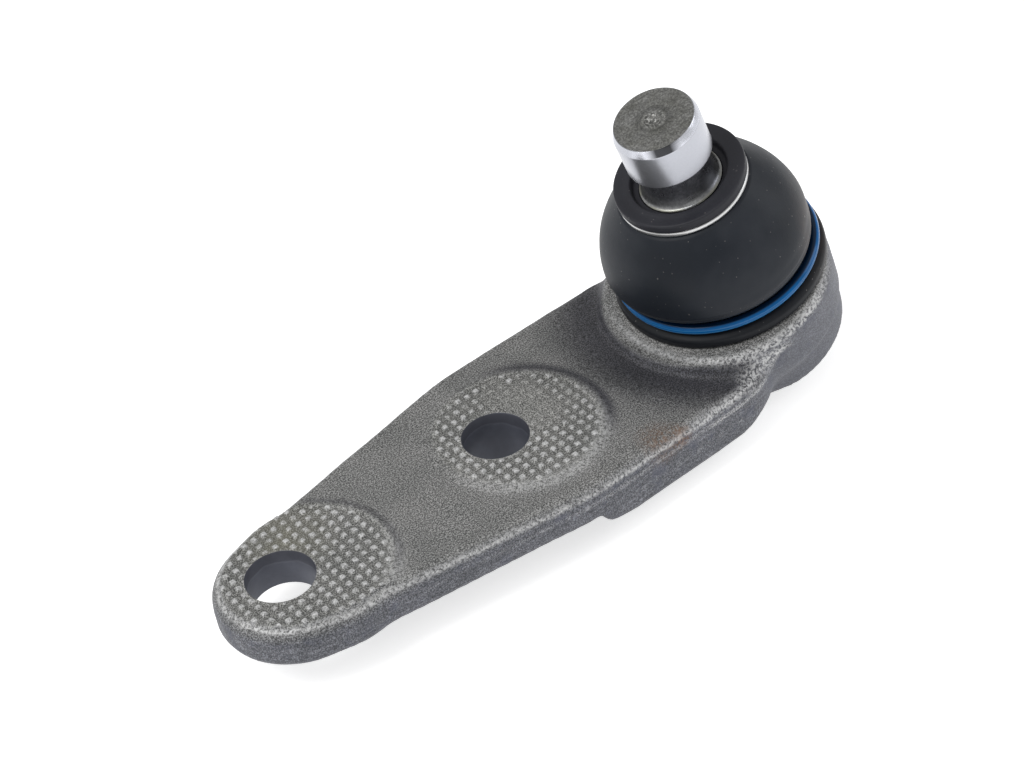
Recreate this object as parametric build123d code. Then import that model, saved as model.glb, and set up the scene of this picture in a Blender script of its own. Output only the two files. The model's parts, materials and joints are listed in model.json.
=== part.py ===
from build123d import *
import math
import os

# Suspension ball joint: a forged plate arm with two bolt holes and a tilted cup,
# and a pinch bolt ball pin that swings and turns in the cup under a rubber boot.
# Millimetres and degrees. The origin lies midway between the two bolt holes, on
# the plate's top face. +X points to the ball, +Z along the bolt holes, upwards.

# Bolt holes and the coined pads around them
bolt_spacing = 51.0
bolt_hole_diameter = 13.0
bolt_hole_break = 0.6
pad_diameter = 34.6
pad_height = 0.45
pad_shift_x = 4.6
pad_edge_margin = 0.5

# Forged plate: a round tip, a swell round the outer pad, then sides that taper out
plate_thickness = 7.8
plate_centre_y = -1.1
plate_side_margin = 0.48
plate_top_round = 2.8
plate_bottom_round = 1.2
tip_radius = 15.5
tip_centre_in = 2.0
swell_radius = 16.9
swell_centre_in = 7.0
swell_blend_radius = 8.0
taper_root_width = 32.0
taper_end_x = 28.5
taper_blend_radius = 45.0
near_shoulder_lead = 20.0
far_shoulder_lead = 16.5
shoulder_radius = 18.0
shoulder_turn = 38.0

# Stiffening ribs under the two long edges of the plate, and the hub at the inner hole
rib_depth = 3.9
rib_width = 5.6
rib_start_x = 29.6
rib_start_length = 6.0
rib_round = 1.1
hub_wall = 5.0
pocket_corner_radius = 4.0

# Ball centre, tilt of the cup towards the bolt holes, and the pin's lean at rest
ball_x = 85.3
ball_z = 5.7
cup_tilt = 15.0
pin_lean = 3.5

# Ball pin, measured along its own axis from the ball's centre
ball_diameter = 25.0
stem_root_diameter = 14.4
shank_diameter = 16.4
shank_start = 20.0
shank_length = 8.6
shank_taper_length = 4.0
waist_diameter = 13.2
waist_length = 2.9
head_diameter = 17.0
head_length = 10.1
head_chamfer_width = 0.6
head_chamfer_height = 1.6
head_under_chamfer = 0.9
centre_mark_diameter = 3.2
centre_mark_depth = 1.1

# Cup of the forging, measured along its own axis from the ball's centre
cup_wall = 6.32
cup_draft = 0.6
cup_foot_round = 0.5
shoulder_height = 1.0
neck_wall = 2.02
neck_top_land = 0.3
neck_groove_height = 2.4
neck_groove_depth = 0.9
mouth_catch = 2.98
mouth_flare = 1.6
mouth_lip = 2.5
rolled_rim_thickness = 0.8
rolled_rim_width = 1.6
boss_overhang = 1.9
boss_shift = 2.2
boss_drop = 0.3
boss_depth = 8.7
boss_skirt_inset = 0.5
boss_round = 1.6
boss_foot_round = 4.0

# Bearing shell and the plate that closes the cup
ball_clearance = 0.08
shell_wall = 2.8
shell_floor = 2.0
shell_fit_gap = 0.1
shell_slots = 6
shell_slot_width = 1.4
shell_slot_depth = 4.6
shell_port_diameter = 7.0
closing_plate_thickness = 1.85
closing_plate_lap = 1.3
closing_plate_dish = 0.8
seat_gap = 0.05

# Rubber boot. The bulge is how far the bulb stands out from a straight cone.
boot_flange_inset = 0.15
boot_flange_thickness = 3.35
boot_bead_round = 0.8
boot_wall = 1.9
boot_gap = 0.15
boot_groove_wall = 1.1
boot_groove_clearance = 0.3
boot_foot_land = 0.95
boot_roll_height = 1.6
boot_bulge = (0.0, 2.75, 3.45, 3.6, 3.45, 2.8, 1.55, 0.0)
boot_sway = 0.35
boot_throat_wall = 3.3
boot_collar_overhang = 0.05
boot_collar_thickness = 2.0
boot_mouth_flare = 1.5
boot_lip_drop = 1.5

# Rings that hold the boot
base_ring_section = 2.5
neck_ring_gap = 0.25
neck_ring_width = 1.3
neck_ring_height = 1.0
neck_ring_drop = 1.1

# Radii that follow from the sizes above, from the ball outwards
ball_radius = ball_diameter / 2
shell_inner_radius = ball_radius + ball_clearance
shell_radius = shell_inner_radius + shell_wall
bore_radius = shell_radius + shell_fit_gap
mouth_radius = shell_radius - mouth_catch
closing_plate_radius = bore_radius + closing_plate_lap
neck_radius = bore_radius + neck_wall
cup_radius = bore_radius + cup_wall
boss_radius = cup_radius + boss_overhang
boot_flange_radius = cup_radius - boot_flange_inset
ring_groove_radius = neck_radius + boot_groove_wall
boot_bulb_radius = ring_groove_radius + boot_foot_land
boot_throat_radius = shank_diameter / 2 + boot_throat_wall
neck_ring_radius = boot_throat_radius + neck_ring_gap + neck_ring_width
boot_collar_radius = neck_ring_radius + boot_collar_overhang
half_width = boss_radius + plate_side_margin
hub_radius = bolt_hole_diameter / 2 + hub_wall

# Heights below and above the ball's centre, along the cup's axis
shell_bottom = -(shell_inner_radius + shell_floor)
closing_plate_top = shell_bottom - seat_gap
closing_plate_bottom = closing_plate_top - closing_plate_thickness
rim_face = closing_plate_bottom - seat_gap - rolled_rim_thickness
boss_height = shoulder_height - boss_drop
boot_seat_height = shoulder_height + boot_gap
boot_flange_top = boot_seat_height + boot_flange_thickness
boot_base_height = boot_flange_top + base_ring_section + boot_groove_clearance
base_ring_height = boot_base_height - boot_gap - base_ring_section / 2
neck_height = boot_base_height + neck_top_land
shell_top = neck_height - mouth_lip - seat_gap

# Heights above the ball's centre, along the pin's axis
shank_end = shank_start + shank_length
waist_height = shank_end + shank_taper_length
head_start = waist_height + waist_length
pin_top = head_start + head_length
neck_ring_place = shank_end - neck_ring_drop
boot_bulb_top = neck_ring_place - neck_ring_height / 2 - boot_gap
boot_collar_start = neck_ring_place + neck_ring_height / 2 + boot_gap
boot_collar_end = boot_collar_start + boot_collar_thickness

# Places along the plate, and the lowest face of its ribs
outer_hole_x = -bolt_spacing / 2
inner_hole_x = bolt_spacing / 2
rib_bottom = -(plate_thickness + rib_depth)
ball_centre = Vector(ball_x, plate_centre_y, ball_z)
tip_centre_x = outer_hole_x + tip_centre_in
swell_centre_x = outer_hole_x + swell_centre_in


def tilted_frame(angle):
    """A frame at the ball's centre whose Z axis leans towards the bolt holes."""
    lean = math.radians(angle)
    axis = (-math.sin(lean), 0, math.cos(lean))
    return Plane(origin=ball_centre, x_dir=(math.cos(lean), 0, math.sin(lean)), z_dir=axis)


cup_frame = tilted_frame(cup_tilt)
pin_frame = tilted_frame(cup_tilt + pin_lean)


def turned(points):
    """The solid that a closed outline of (radius, height) points makes about Z."""
    outline = make_face(Polyline(*[(radius, 0, height) for radius, height in points], close=True))
    return revolve(outline, Axis.Z)


def cylinder_between(radius, low, high):
    """An upright cylinder from one height to another."""
    return Pos(0, 0, low) * Cylinder(radius, high - low, align=(Align.CENTER, Align.CENTER, Align.MIN))


def small_end():
    """The round tip and the swell behind it, joined by the lines that touch both."""
    lean = math.asin((swell_radius - tip_radius) / (swell_centre_x - tip_centre_x))
    touches = [
        (centre - radius * math.sin(lean), radius * math.cos(lean))
        for centre, radius in ((tip_centre_x, tip_radius), (swell_centre_x, swell_radius))
    ]
    mirrored = [(x, -y) for x, y in reversed(touches)]
    link = make_face(Polyline(*touches, *mirrored, close=True))
    tip = Pos(tip_centre_x, 0, 0) * Circle(tip_radius)
    swell = Pos(swell_centre_x, 0, 0) * Circle(swell_radius)
    return tip + swell + link


def long_side(shoulder_lead):
    """One side of the plate: it tapers out, runs level and turns in to the cup."""
    turn = math.radians(shoulder_turn)
    shoulder_x = ball_x - shoulder_lead
    end_x = shoulder_x + shoulder_radius * math.sin(turn)
    end_y = half_width - shoulder_radius * (1 - math.cos(turn))
    inner_y = end_y - (ball_x - end_x) * math.tan(turn)
    bend_x = shoulder_x + shoulder_radius * math.sin(turn / 2)
    bend_y = half_width - shoulder_radius * (1 - math.cos(turn / 2))
    return [
        Line((swell_centre_x, taper_root_width / 2), (taper_end_x, half_width)),
        Line((taper_end_x, half_width), (shoulder_x, half_width)),
        ThreePointArc((shoulder_x, half_width), (bend_x, bend_y), (end_x, end_y)),
        Line((end_x, end_y), (ball_x, inner_y)),
        Line((ball_x, inner_y), (ball_x, 0)),
    ]


def wide_end():
    """The plate from the swell to the cup, with its shoulders a little apart."""
    far_side = long_side(far_shoulder_lead)
    near_side = [mirror(edge, Plane.XZ) for edge in long_side(near_shoulder_lead)]
    root = taper_root_width / 2
    start = Line((swell_centre_x, root), (swell_centre_x, -root))
    return make_face([*far_side, *near_side, start])


def plate_outline(inset=0.0):
    """The plate's outline seen from above, or the same one moved inwards."""
    face = small_end() + wide_end()
    knees = [corner for corner in face.vertices() if abs(corner.X - taper_end_x) < 0.01]
    face = fillet(knees, taper_blend_radius)
    notches = [corner for corner in face.vertices() if swell_centre_x < corner.X < taper_end_x - 10]
    face = Pos(0, plate_centre_y, 0) * fillet(notches, swell_blend_radius)
    if inset:
        face = offset(face, -inset, kind=Kind.INTERSECTION)
    return face


def edges_at(solid, height):
    """The level edges of a solid at one height."""
    return solid.edges().filter_by_position(Axis.Z, height - 0.01, height + 0.01)


def rim_at(plate, height):
    """The plate's rim at one height, apart from the edge across its end."""
    return [edge for edge in edges_at(plate, height) if edge.center().X < ball_x - 0.1]


def plate_solid():
    """The flat of the forging with its rolled top edge and eased bottom edge."""
    plate = Pos(0, 0, -plate_thickness) * extrude(plate_outline(), plate_thickness)
    plate = fillet(rim_at(plate, 0), plate_top_round)
    return fillet(rim_at(plate, -plate_thickness), plate_bottom_round)


def pad_solids():
    """The two raised coined pads, cut back where they would pass the plate's edge."""
    limit = extrude(plate_outline(plate_top_round - pad_edge_margin), pad_height)
    pads = []
    for hole_x in (outer_hole_x, inner_hole_x):
        disc = cylinder_between(pad_diameter / 2, -1, pad_height)
        disc = Pos(hole_x + pad_shift_x, plate_centre_y, 0) * disc
        pads.append(disc & (limit + Pos(0, 0, -1) * extrude(plate_outline(plate_top_round), 1)))
    return pads


def pocket_outline():
    """The hollow between the two ribs, from behind the hub to the cup."""
    front = inner_hole_x + hub_radius
    block = Rectangle(ball_x - front, 2 * half_width, align=(Align.MIN, Align.CENTER))
    pocket = plate_outline(rib_width) & (Pos(front, plate_centre_y, 0) * block)
    corners = [corner for corner in pocket.vertices() if abs(corner.X - front) < 0.01]
    return fillet(corners, pocket_corner_radius)


def rib_solid():
    """The ribs along both long edges and the web that joins them at the hub."""
    band = plate_outline() - pocket_outline()
    rib = Pos(0, 0, rib_bottom) * extrude(band, rib_depth + plate_bottom_round)
    rib = fillet(edges_at(rib, rib_bottom), rib_round)
    end_x = rib_start_x + rib_start_length
    side = make_face([
        Line((rib_start_x, 0), (rib_start_x, -plate_thickness)),
        ThreePointArc(
            (rib_start_x, -plate_thickness),
            (rib_start_x + 0.22 * rib_start_length, rib_bottom + 0.3 * rib_depth),
            (end_x, rib_bottom),
        ),
        Line((end_x, rib_bottom), (ball_x, rib_bottom)),
        Line((ball_x, rib_bottom), (ball_x, 0)),
        Line((ball_x, 0), (rib_start_x, 0)),
    ])
    return rib & extrude(Plane.XZ * side, 2 * half_width, both=True)


def hub_solid():
    """The round hub under the inner bolt hole, as deep as the ribs."""
    hub = cylinder_between(hub_radius, rib_bottom, -plate_top_round)
    return Pos(inner_hole_x, 0, 0) * fillet(edges_at(hub, rib_bottom), rib_round)


def boss_on(plate):
    """The plate with the low boss that carries the cup's shoulder over onto it."""
    boss = cylinder_between(boss_radius, -boss_depth, boss_height)
    boss = fillet(edges_at(boss, boss_height), boss_round)
    boss = cup_frame * Pos(-boss_shift, 0, 0) * boss
    joined = plate + boss
    foot = [
        edge for edge in new_edges(plate, boss, combined=joined)
        if edge.center().Z > -plate_top_round / 2
    ]
    return fillet(foot, boss_foot_round)


def boss_skirt():
    """The taper that brings the boss's sides in to the foot of the cup."""
    low = rim_face + 2 * boss_skirt_inset
    skirt = turned([
        (0, low),
        (cup_radius - cup_draft - boss_shift - boss_skirt_inset, low),
        (boss_radius, -boss_depth),
        (0, -boss_depth),
    ])
    return cup_frame * Pos(-boss_shift, 0, 0) * skirt


def cup_outside():
    """The outside of the cup with the neck that the boot sits on."""
    groove_low = boot_flange_top
    groove_high = groove_low + neck_groove_height
    groove_radius = neck_radius - neck_groove_depth
    foot_radius = cup_radius - cup_draft
    edge_break = boot_gap * 2
    body = turned([
        (0, rim_face),
        (foot_radius - cup_foot_round, rim_face),
        (foot_radius, rim_face + cup_foot_round),
        (cup_radius, shoulder_height),
        (neck_radius, shoulder_height),
        (neck_radius, groove_low),
        (groove_radius, groove_low + neck_groove_depth),
        (groove_radius, groove_high - neck_groove_depth),
        (neck_radius, groove_high),
        (neck_radius, neck_height - edge_break),
        (neck_radius - edge_break, neck_height),
        (0, neck_height),
    ])
    return cup_frame * body


def cup_inside():
    """The bore for the bearing shell, its mouth, and the seat of the closing plate."""
    mouth_low = neck_height - mouth_lip
    rim_radius = closing_plate_radius + seat_gap - rolled_rim_width
    seat_radius = closing_plate_radius + seat_gap
    bore = turned([
        (0, rim_face - 1),
        (rim_radius, rim_face - 1),
        (rim_radius, rim_face + rolled_rim_thickness),
        (seat_radius, rim_face + rolled_rim_thickness),
        (seat_radius, closing_plate_top),
        (bore_radius, closing_plate_top),
        (bore_radius, mouth_low),
        (mouth_radius, mouth_low),
        (mouth_radius, mouth_low + mouth_lip / 5),
        (mouth_radius + mouth_flare, neck_height),
        (mouth_radius + mouth_flare, neck_height + 1),
        (0, neck_height + 1),
    ])
    return cup_frame * bore


def bolt_hole_cutters():
    """The two bolt holes with a small broken edge at each face."""
    radius = bolt_hole_diameter / 2
    cutters = []
    for hole_x, low in ((outer_hole_x, -plate_thickness), (inner_hole_x, rib_bottom)):
        cutter = turned([
            (0, low - 1),
            (radius + bolt_hole_break + 1, low - 1),
            (radius, low + bolt_hole_break),
            (radius, pad_height - bolt_hole_break),
            (radius + bolt_hole_break + 1, pad_height + 1),
            (0, pad_height + 1),
        ])
        cutters.append(Pos(hole_x, 0, 0) * cutter)
    return cutters


def arm_forging():
    """The one-piece forging: plate, pads, ribs, hub, boss and cup."""
    arm = boss_on(plate_solid()) + boss_skirt()
    arm = arm + rib_solid() + hub_solid() + cup_outside()
    for pad in pad_solids():
        arm += pad
    arm -= cup_inside()
    for cutter in bolt_hole_cutters():
        arm -= cutter
    return arm


def bearing_shell():
    """The plastic socket that wraps the ball past its middle, slotted to snap on."""
    shell = cylinder_between(shell_radius, shell_bottom, shell_top)
    shell -= Sphere(shell_inner_radius)
    shell -= cylinder_between(shell_port_diameter / 2, shell_bottom - 1, 0)
    slot_low = shell_top - shell_slot_depth
    slot = Box(shell_radius + 1, shell_slot_width, shell_slot_depth + 1,
               align=(Align.MIN, Align.CENTER, Align.MIN))
    for index in range(shell_slots):
        shell -= Rot(0, 0, 360 * index / shell_slots) * Pos(0, 0, slot_low) * slot
    return cup_frame * shell


def closing_plate():
    """The dished steel disc behind the shell, held by the cup's rolled rim."""
    dish_radius = closing_plate_radius - 2 * rolled_rim_width
    disc = turned([
        (0, closing_plate_bottom + closing_plate_dish),
        (dish_radius, closing_plate_bottom + closing_plate_dish),
        (dish_radius + closing_plate_dish, closing_plate_bottom),
        (closing_plate_radius, closing_plate_bottom),
        (closing_plate_radius, closing_plate_top - seat_gap),
        (0, closing_plate_top - seat_gap),
    ])
    return cup_frame * disc


def ball_pin():
    """Ball, stem, shank, pinch bolt waist and head, turned from one bar."""
    stem_radius = stem_root_diameter / 2
    shank_radius = shank_diameter / 2
    waist_radius = waist_diameter / 2
    head_radius = head_diameter / 2
    mark_radius = centre_mark_diameter / 2
    under_radius = head_radius - head_under_chamfer
    under_height = head_start + head_under_chamfer / 2
    chamfer_low = pin_top - head_chamfer_height
    join = math.sqrt(ball_radius**2 - stem_radius**2)
    outline = make_face([
        ThreePointArc((0, 0, -ball_radius), (ball_radius, 0, 0), (stem_radius, 0, join)),
        Line((stem_radius, 0, join), (shank_radius, 0, shank_start)),
        Line((shank_radius, 0, shank_start), (shank_radius, 0, shank_end)),
        TangentArc((shank_radius, 0, shank_end), (waist_radius, 0, waist_height), tangent=(-1, 0, 0.25)),
        Line((waist_radius, 0, waist_height), (under_radius, 0, head_start)),
        Line((under_radius, 0, head_start), (head_radius, 0, under_height)),
        Line((head_radius, 0, under_height), (head_radius, 0, chamfer_low)),
        Line((head_radius, 0, chamfer_low), (head_radius - head_chamfer_width, 0, pin_top)),
        Line((head_radius - head_chamfer_width, 0, pin_top), (mark_radius, 0, pin_top)),
        Line((mark_radius, 0, pin_top), (0, 0, pin_top - centre_mark_depth)),
        Line((0, 0, pin_top - centre_mark_depth), (0, 0, -ball_radius)),
    ])
    return pin_frame * revolve(outline, Axis.Z)


def boot_rings(shrink):
    """Circles up the boot's bulb, turning from the cup's axis to the pin's."""
    low = cup_frame.origin + cup_frame.z_dir * boot_base_height
    high = pin_frame.origin + pin_frame.z_dir * boot_bulb_top
    steps = len(boot_bulge) - 1
    rings = []
    for step, bulge in enumerate(boot_bulge):
        share = step / steps
        axis = cup_frame.z_dir * (1 - share) + pin_frame.z_dir * share
        sway = cup_frame.x_dir * boot_sway * math.sin(math.pi * share)
        place = low + (high - low) * share - sway
        straight = boot_bulb_radius * (1 - share) + neck_ring_radius * share
        rings.append(Plane(origin=place, z_dir=axis) * Circle(straight + bulge - shrink))
    return rings


def boot_base():
    """The boot's flange and the groove that its blue ring lies in."""
    inner = neck_radius + boot_gap
    groove = ring_groove_radius - boot_gap
    roll = boot_bulb_radius - boot_gap
    base = turned([
        (inner, boot_seat_height),
        (boot_flange_radius - boot_bead_round, boot_seat_height),
        (boot_flange_radius, boot_seat_height + boot_bead_round),
        (boot_flange_radius, boot_flange_top - boot_bead_round),
        (boot_flange_radius - boot_bead_round, boot_flange_top),
        (groove, boot_flange_top),
        (groove, boot_base_height),
        (roll, boot_base_height),
        (roll, boot_base_height + boot_roll_height),
        (inner, boot_base_height + boot_roll_height),
    ])
    return cup_frame * base


def boot_collar():
    """The flat topped collar and lip that close on the pin's shank."""
    lip = shank_diameter / 2 + boot_gap
    roof = neck_ring_radius - boot_gap
    collar = turned([
        (lip, boot_bulb_top - boot_wall),
        (roof, boot_bulb_top - boot_wall),
        (roof, boot_bulb_top),
        (boot_throat_radius, boot_bulb_top),
        (boot_throat_radius, boot_collar_start),
        (boot_collar_radius, boot_collar_start),
        (boot_collar_radius, boot_collar_end),
        (shank_diameter / 2 + boot_mouth_flare, boot_collar_end),
        (lip, boot_collar_end - boot_lip_drop),
    ])
    return pin_frame * collar


def dust_boot():
    """The rubber bellows between the cup's neck and the pin."""
    outside = loft(boot_rings(0))
    inside = loft(boot_rings(boot_wall), ruled=True)
    return boot_base() + (outside - inside) + boot_collar()


def base_ring():
    """The round blue ring that holds the boot's foot on the cup's neck."""
    middle = ring_groove_radius + base_ring_section / 2
    ring = Torus(middle, base_ring_section / 2 - boot_gap)
    return cup_frame * Pos(0, 0, base_ring_height) * ring


def neck_ring():
    """The flat pale ring under the boot's collar."""
    low = neck_ring_place - neck_ring_height / 2
    high = low + neck_ring_height
    ring = cylinder_between(neck_ring_radius, low, high)
    return pin_frame * (ring - cylinder_between(neck_ring_radius - neck_ring_width, low - 1, high + 1))


def write_parts():
    """Write one STEP file for each piece, named after it."""
    pieces = {
        "arm_forging": arm_forging(),
        "bearing_shell": bearing_shell(),
        "closing_plate": closing_plate(),
        "ball_pin": ball_pin(),
        "dust_boot": dust_boot(),
        "base_ring": base_ring(),
        "neck_ring": neck_ring(),
    }
    os.makedirs("parts", exist_ok=True)
    for name, piece in pieces.items():
        export_step(piece, f"parts/{name}.step")


write_parts()
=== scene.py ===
import json
import math

import bmesh
import bpy
import numpy as np
from bpy.props import FloatProperty, FloatVectorProperty, IntProperty, PointerProperty
from mathutils import Matrix, Quaternion, Vector


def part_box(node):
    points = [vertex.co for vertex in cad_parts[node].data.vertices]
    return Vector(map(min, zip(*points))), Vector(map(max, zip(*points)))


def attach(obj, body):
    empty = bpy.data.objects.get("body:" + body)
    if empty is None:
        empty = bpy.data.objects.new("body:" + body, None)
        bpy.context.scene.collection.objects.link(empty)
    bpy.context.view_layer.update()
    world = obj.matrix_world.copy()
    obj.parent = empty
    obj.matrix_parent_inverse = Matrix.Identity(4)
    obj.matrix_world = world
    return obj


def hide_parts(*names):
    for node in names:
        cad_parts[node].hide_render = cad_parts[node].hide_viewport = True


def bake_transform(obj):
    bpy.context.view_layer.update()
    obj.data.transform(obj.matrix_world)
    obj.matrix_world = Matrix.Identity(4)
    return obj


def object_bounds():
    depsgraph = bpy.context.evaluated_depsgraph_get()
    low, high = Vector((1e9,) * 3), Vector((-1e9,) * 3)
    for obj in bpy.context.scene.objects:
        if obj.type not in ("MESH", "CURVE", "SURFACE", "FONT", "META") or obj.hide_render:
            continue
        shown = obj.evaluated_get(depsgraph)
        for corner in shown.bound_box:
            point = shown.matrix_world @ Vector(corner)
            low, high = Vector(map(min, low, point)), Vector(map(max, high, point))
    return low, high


bl_info = {
    "name": "Suspension Ball Joint",
    "version": (1, 0, 0),
    "blender": (4, 5, 0),
    "location": "View3D > Sidebar > Ball Joint",
    "description": "Dresses a forged ball joint arm with its surface, boot, rings and pin",
    "category": "Object",
}

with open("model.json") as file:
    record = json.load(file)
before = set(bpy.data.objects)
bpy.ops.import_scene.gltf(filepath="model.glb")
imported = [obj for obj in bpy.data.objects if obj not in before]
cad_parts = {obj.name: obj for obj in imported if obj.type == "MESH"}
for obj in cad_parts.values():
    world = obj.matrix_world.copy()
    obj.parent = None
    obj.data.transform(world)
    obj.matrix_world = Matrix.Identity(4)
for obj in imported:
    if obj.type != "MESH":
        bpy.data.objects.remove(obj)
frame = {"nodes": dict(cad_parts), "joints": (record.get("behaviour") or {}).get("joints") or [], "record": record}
nodes = frame["nodes"]
joints = {joint["name"]: joint for joint in frame["joints"]}
mounts = {mount["name"]: mount for mount in frame["record"]["mounts"]}
cad_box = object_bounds()

MM = 0.001


def box_centre(node):
    """The middle of a CAD node's box."""
    low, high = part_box(node)
    return (low + high) / 2


def box_half_width(node):
    """Half of a CAD node's width across the plate."""
    low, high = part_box(node)
    return (high.y - low.y) / 2


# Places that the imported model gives
BALL = Vector(joints["pin_turn"]["pos_m"])
PIN_AXIS = Vector(joints["pin_turn"]["axis"]).normalized()
CUP_AXIS = (box_centre("base_ring") - BALL).normalized()
HOLE_RADIUS = mounts["arm_bolts"]["dims"]["hole_r_mm"] * MM
HOLE_HALF_SPACING = mounts["arm_bolts"]["dims"]["spacing_x_mm"] * MM / 2
PLATE_MIDDLE_Y = BALL.y
PLATE_BOTTOM = mounts["plate_underside"]["pos_m"][2]
PIN_RADIUS = mounts["pin_head"]["dims"]["r_mm"] * MM
PAD_TOP = mounts["inner_pad_face"]["pos_m"][2]
RING_OUTER_RADIUS = box_half_width("base_ring")
RING_HEIGHT = (box_centre("base_ring") - BALL).length
NECK_RING_RADIUS = box_half_width("neck_ring")
NECK_RING_HEIGHT = (box_centre("neck_ring") - BALL).length
FLANGE_RADIUS = box_half_width("dust_boot")

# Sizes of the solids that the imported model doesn't name
RIB_DEPTH = 3.9 * MM
BOSS_SHIFT = 2.2 * MM
BOSS_CENTRE = BALL - Vector((0, 1, 0)).cross(CUP_AXIS).normalized() * BOSS_SHIFT
HOLES = (
    (-HOLE_HALF_SPACING, PLATE_BOTTOM),
    (HOLE_HALF_SPACING, PLATE_BOTTOM - RIB_DEPTH),
)
FACE_RADIUS = PIN_RADIUS - 0.6 * MM


def length(name, default, description):
    """A length property with the sidebar's unit."""
    return FloatProperty(
        name=name, description=description, default=default, min=0.0,
        subtype="DISTANCE", unit="LENGTH", precision=5,
    )


def colour(name, default, description):
    """A colour property, written as linear red, green and blue."""
    return FloatVectorProperty(
        name=name, description=description, default=default, min=0.0, max=1.0,
        size=3, subtype="COLOR",
    )


class ForgingSettings(bpy.types.PropertyGroup):
    """Sizes and colours of the forged arm's surface."""

    grid: length("Surface grid", 0.5 * MM, "Edge length of the forged surface's mesh")
    unevenness: length("Unevenness", 0.20 * MM, "How far the forged skin wanders")
    pitting: length("Pitting", 0.06 * MM, "How deep the small pits of the skin are")
    hole_break: length("Hole edge", 0.35 * MM, "Width of the broken edge of a bolt hole")
    flash_height: length("Flash line", 0.14 * MM, "How far the trimmed flash stands out")
    flash_width: length("Flash width", 0.30 * MM, "Half width of the trimmed flash line")
    flash_drop: length("Flash drop", 3.5 * MM, "Depth of the flash line below the plate's top")
    draw_in: length("Draw in", 0.24 * MM, "How far the side walls lie inside the drawn size")
    boss_lift: length("Boss lift", 0.60 * MM, "How far the cup's top stands above the drawn size")
    valley_depth: length("Valley", 0.85 * MM, "Depth of the dip in the plate in front of the cup")
    steel: colour("Forged steel", (0.182, 0.182, 0.180), "Middle grey of the forged skin")
    # The worn steel colour is also the colour of the painted highlights.
    worn: colour("Worn steel", (0.66, 0.66, 0.66), "Bright steel on worn edges")
    # The wall steel also gives the painted shade of walls that turn away from the top.
    shade: colour("Wall steel", (0.116, 0.120, 0.138), "Bluish grey of the side walls")
    rust: colour("Light rust", (0.18, 0.095, 0.048), "Faint rust near the plate's edge")
    olive: colour("Olive tint", (0.20, 0.19, 0.13), "Faint oil stain on the pads")
    bore: colour("Hole wall", (0.105, 0.112, 0.140), "Dark blued wall of the bolt holes")


class GripSettings(bpy.types.PropertyGroup):
    """The coined grip bumps round the two bolt holes."""

    pitch: length("Pitch", 2.17 * MM, "Distance from one bump to the next")
    turn: FloatProperty(
        name="Turn", description="Turn of the grid of bumps against the plate's length",
        default=math.radians(-3.0), subtype="ANGLE", unit="ROTATION",
    )
    relief: length("Relief", 0.48 * MM, "Height of a bump above its valleys")
    pad_radius: length("Pad radius", 17.3 * MM, "Radius of a coined pad")
    pad_shift: length("Pad shift", 4.6 * MM, "Distance from a hole to its pad's middle")
    edge_margin: length("Edge margin", 1.1 * MM, "Plain rim round the bumps")
    hole_margin: length("Hole margin", 0.8 * MM, "Plain rim round a bolt hole")


class PinSettings(bpy.types.PropertyGroup):
    """Sizes and colours of the ball pin, along its axis from the ball's centre."""

    ball_radius: length("Ball radius", 12.5 * MM, "Radius of the ball")
    stem_radius: length("Stem radius", 7.2 * MM, "Radius where the stem leaves the ball")
    shank_radius: length("Shank radius", 8.2 * MM, "Radius of the shank in the boot's lip")
    shank_low: length("Shank start", 20.0 * MM, "Height of the shank's lower end")
    shank_high: length("Shank end", 28.6 * MM, "Height of the shank's upper end")
    waist_radius: length("Waist radius", 6.6 * MM, "Radius of the waist for the pinch bolt")
    waist_low: length("Waist start", 32.6 * MM, "Height of the waist's lower end")
    head_low: length("Head start", 35.5 * MM, "Height of the head's lower edge")
    head_high: length("Head top", 45.6 * MM, "Height of the pin's end face")
    head_chamfer: length("Head chamfer", 1.6 * MM, "Height of the chamfer round the end face")
    mark_radius: length("Centre mark", 1.6 * MM, "Radius of the turning centre's mark")
    ground: colour("Ground steel", (0.45, 0.46, 0.50), "Satin ground head")
    phosphated: colour("Phosphated steel", (0.160, 0.160, 0.154), "Dark olive waist and end face")


class BootSettings(bpy.types.PropertyGroup):
    """Sizes and colour of the rubber boot."""

    flange_low: length("Flange bottom", 1.75 * MM, "Height of the flange's underside")
    flange_high: length("Flange top", 4.5 * MM, "Height of the flange's top")
    base_high: length("Groove top", 7.3 * MM, "Height where the bulb starts above the ring")
    foot_radius: length("Bulb foot", 19.55 * MM, "Radius of the bulb just above the ring")
    sway: length("Sway", 0.35 * MM, "How far the bulb leans towards the bolt holes")
    dent: length("Dent", 1.1 * MM, "How far the bulb's low far side is drawn in")
    dent_turn: FloatProperty(
        name="Dent turn", description="Direction of the drawn in side against the plate's length",
        default=math.radians(25.0), subtype="ANGLE", unit="ROTATION",
    )
    crease_depth: length("Crease", 0.16 * MM, "Depth of the fold line above the blue ring")
    bend_share: FloatProperty(
        name="Bend share", description="Share of the bulb's height that bends with the first swing",
        default=0.64, min=0.2, max=0.8,
    )
    neck_radius: length("Neck radius", 17.65 * MM, "Radius of the boot where it grips the cup")
    wall: length("Wall", 1.9 * MM, "Thickness of the rubber")
    throat_radius: length("Throat radius", 11.5 * MM, "Radius of the groove under the collar")
    collar_low: length("Collar bottom", 28.15 * MM, "Height of the collar's underside")
    collar_high: length("Collar top", 30.15 * MM, "Height of the collar's top")
    mouth_radius: length("Mouth radius", 9.7 * MM, "Radius of the collar's inner edge")
    lip_radius: length("Lip radius", 8.3 * MM, "Radius of the lip that touches the pin")
    lip_drop: length("Lip drop", 1.5 * MM, "How far the lip lies below the collar's top")
    rubber: colour("Rubber", (0.010, 0.0135, 0.020), "Near black of the rubber")
    dust: colour("Dust", (0.20, 0.19, 0.185), "Pale dust on the rubber")


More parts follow.
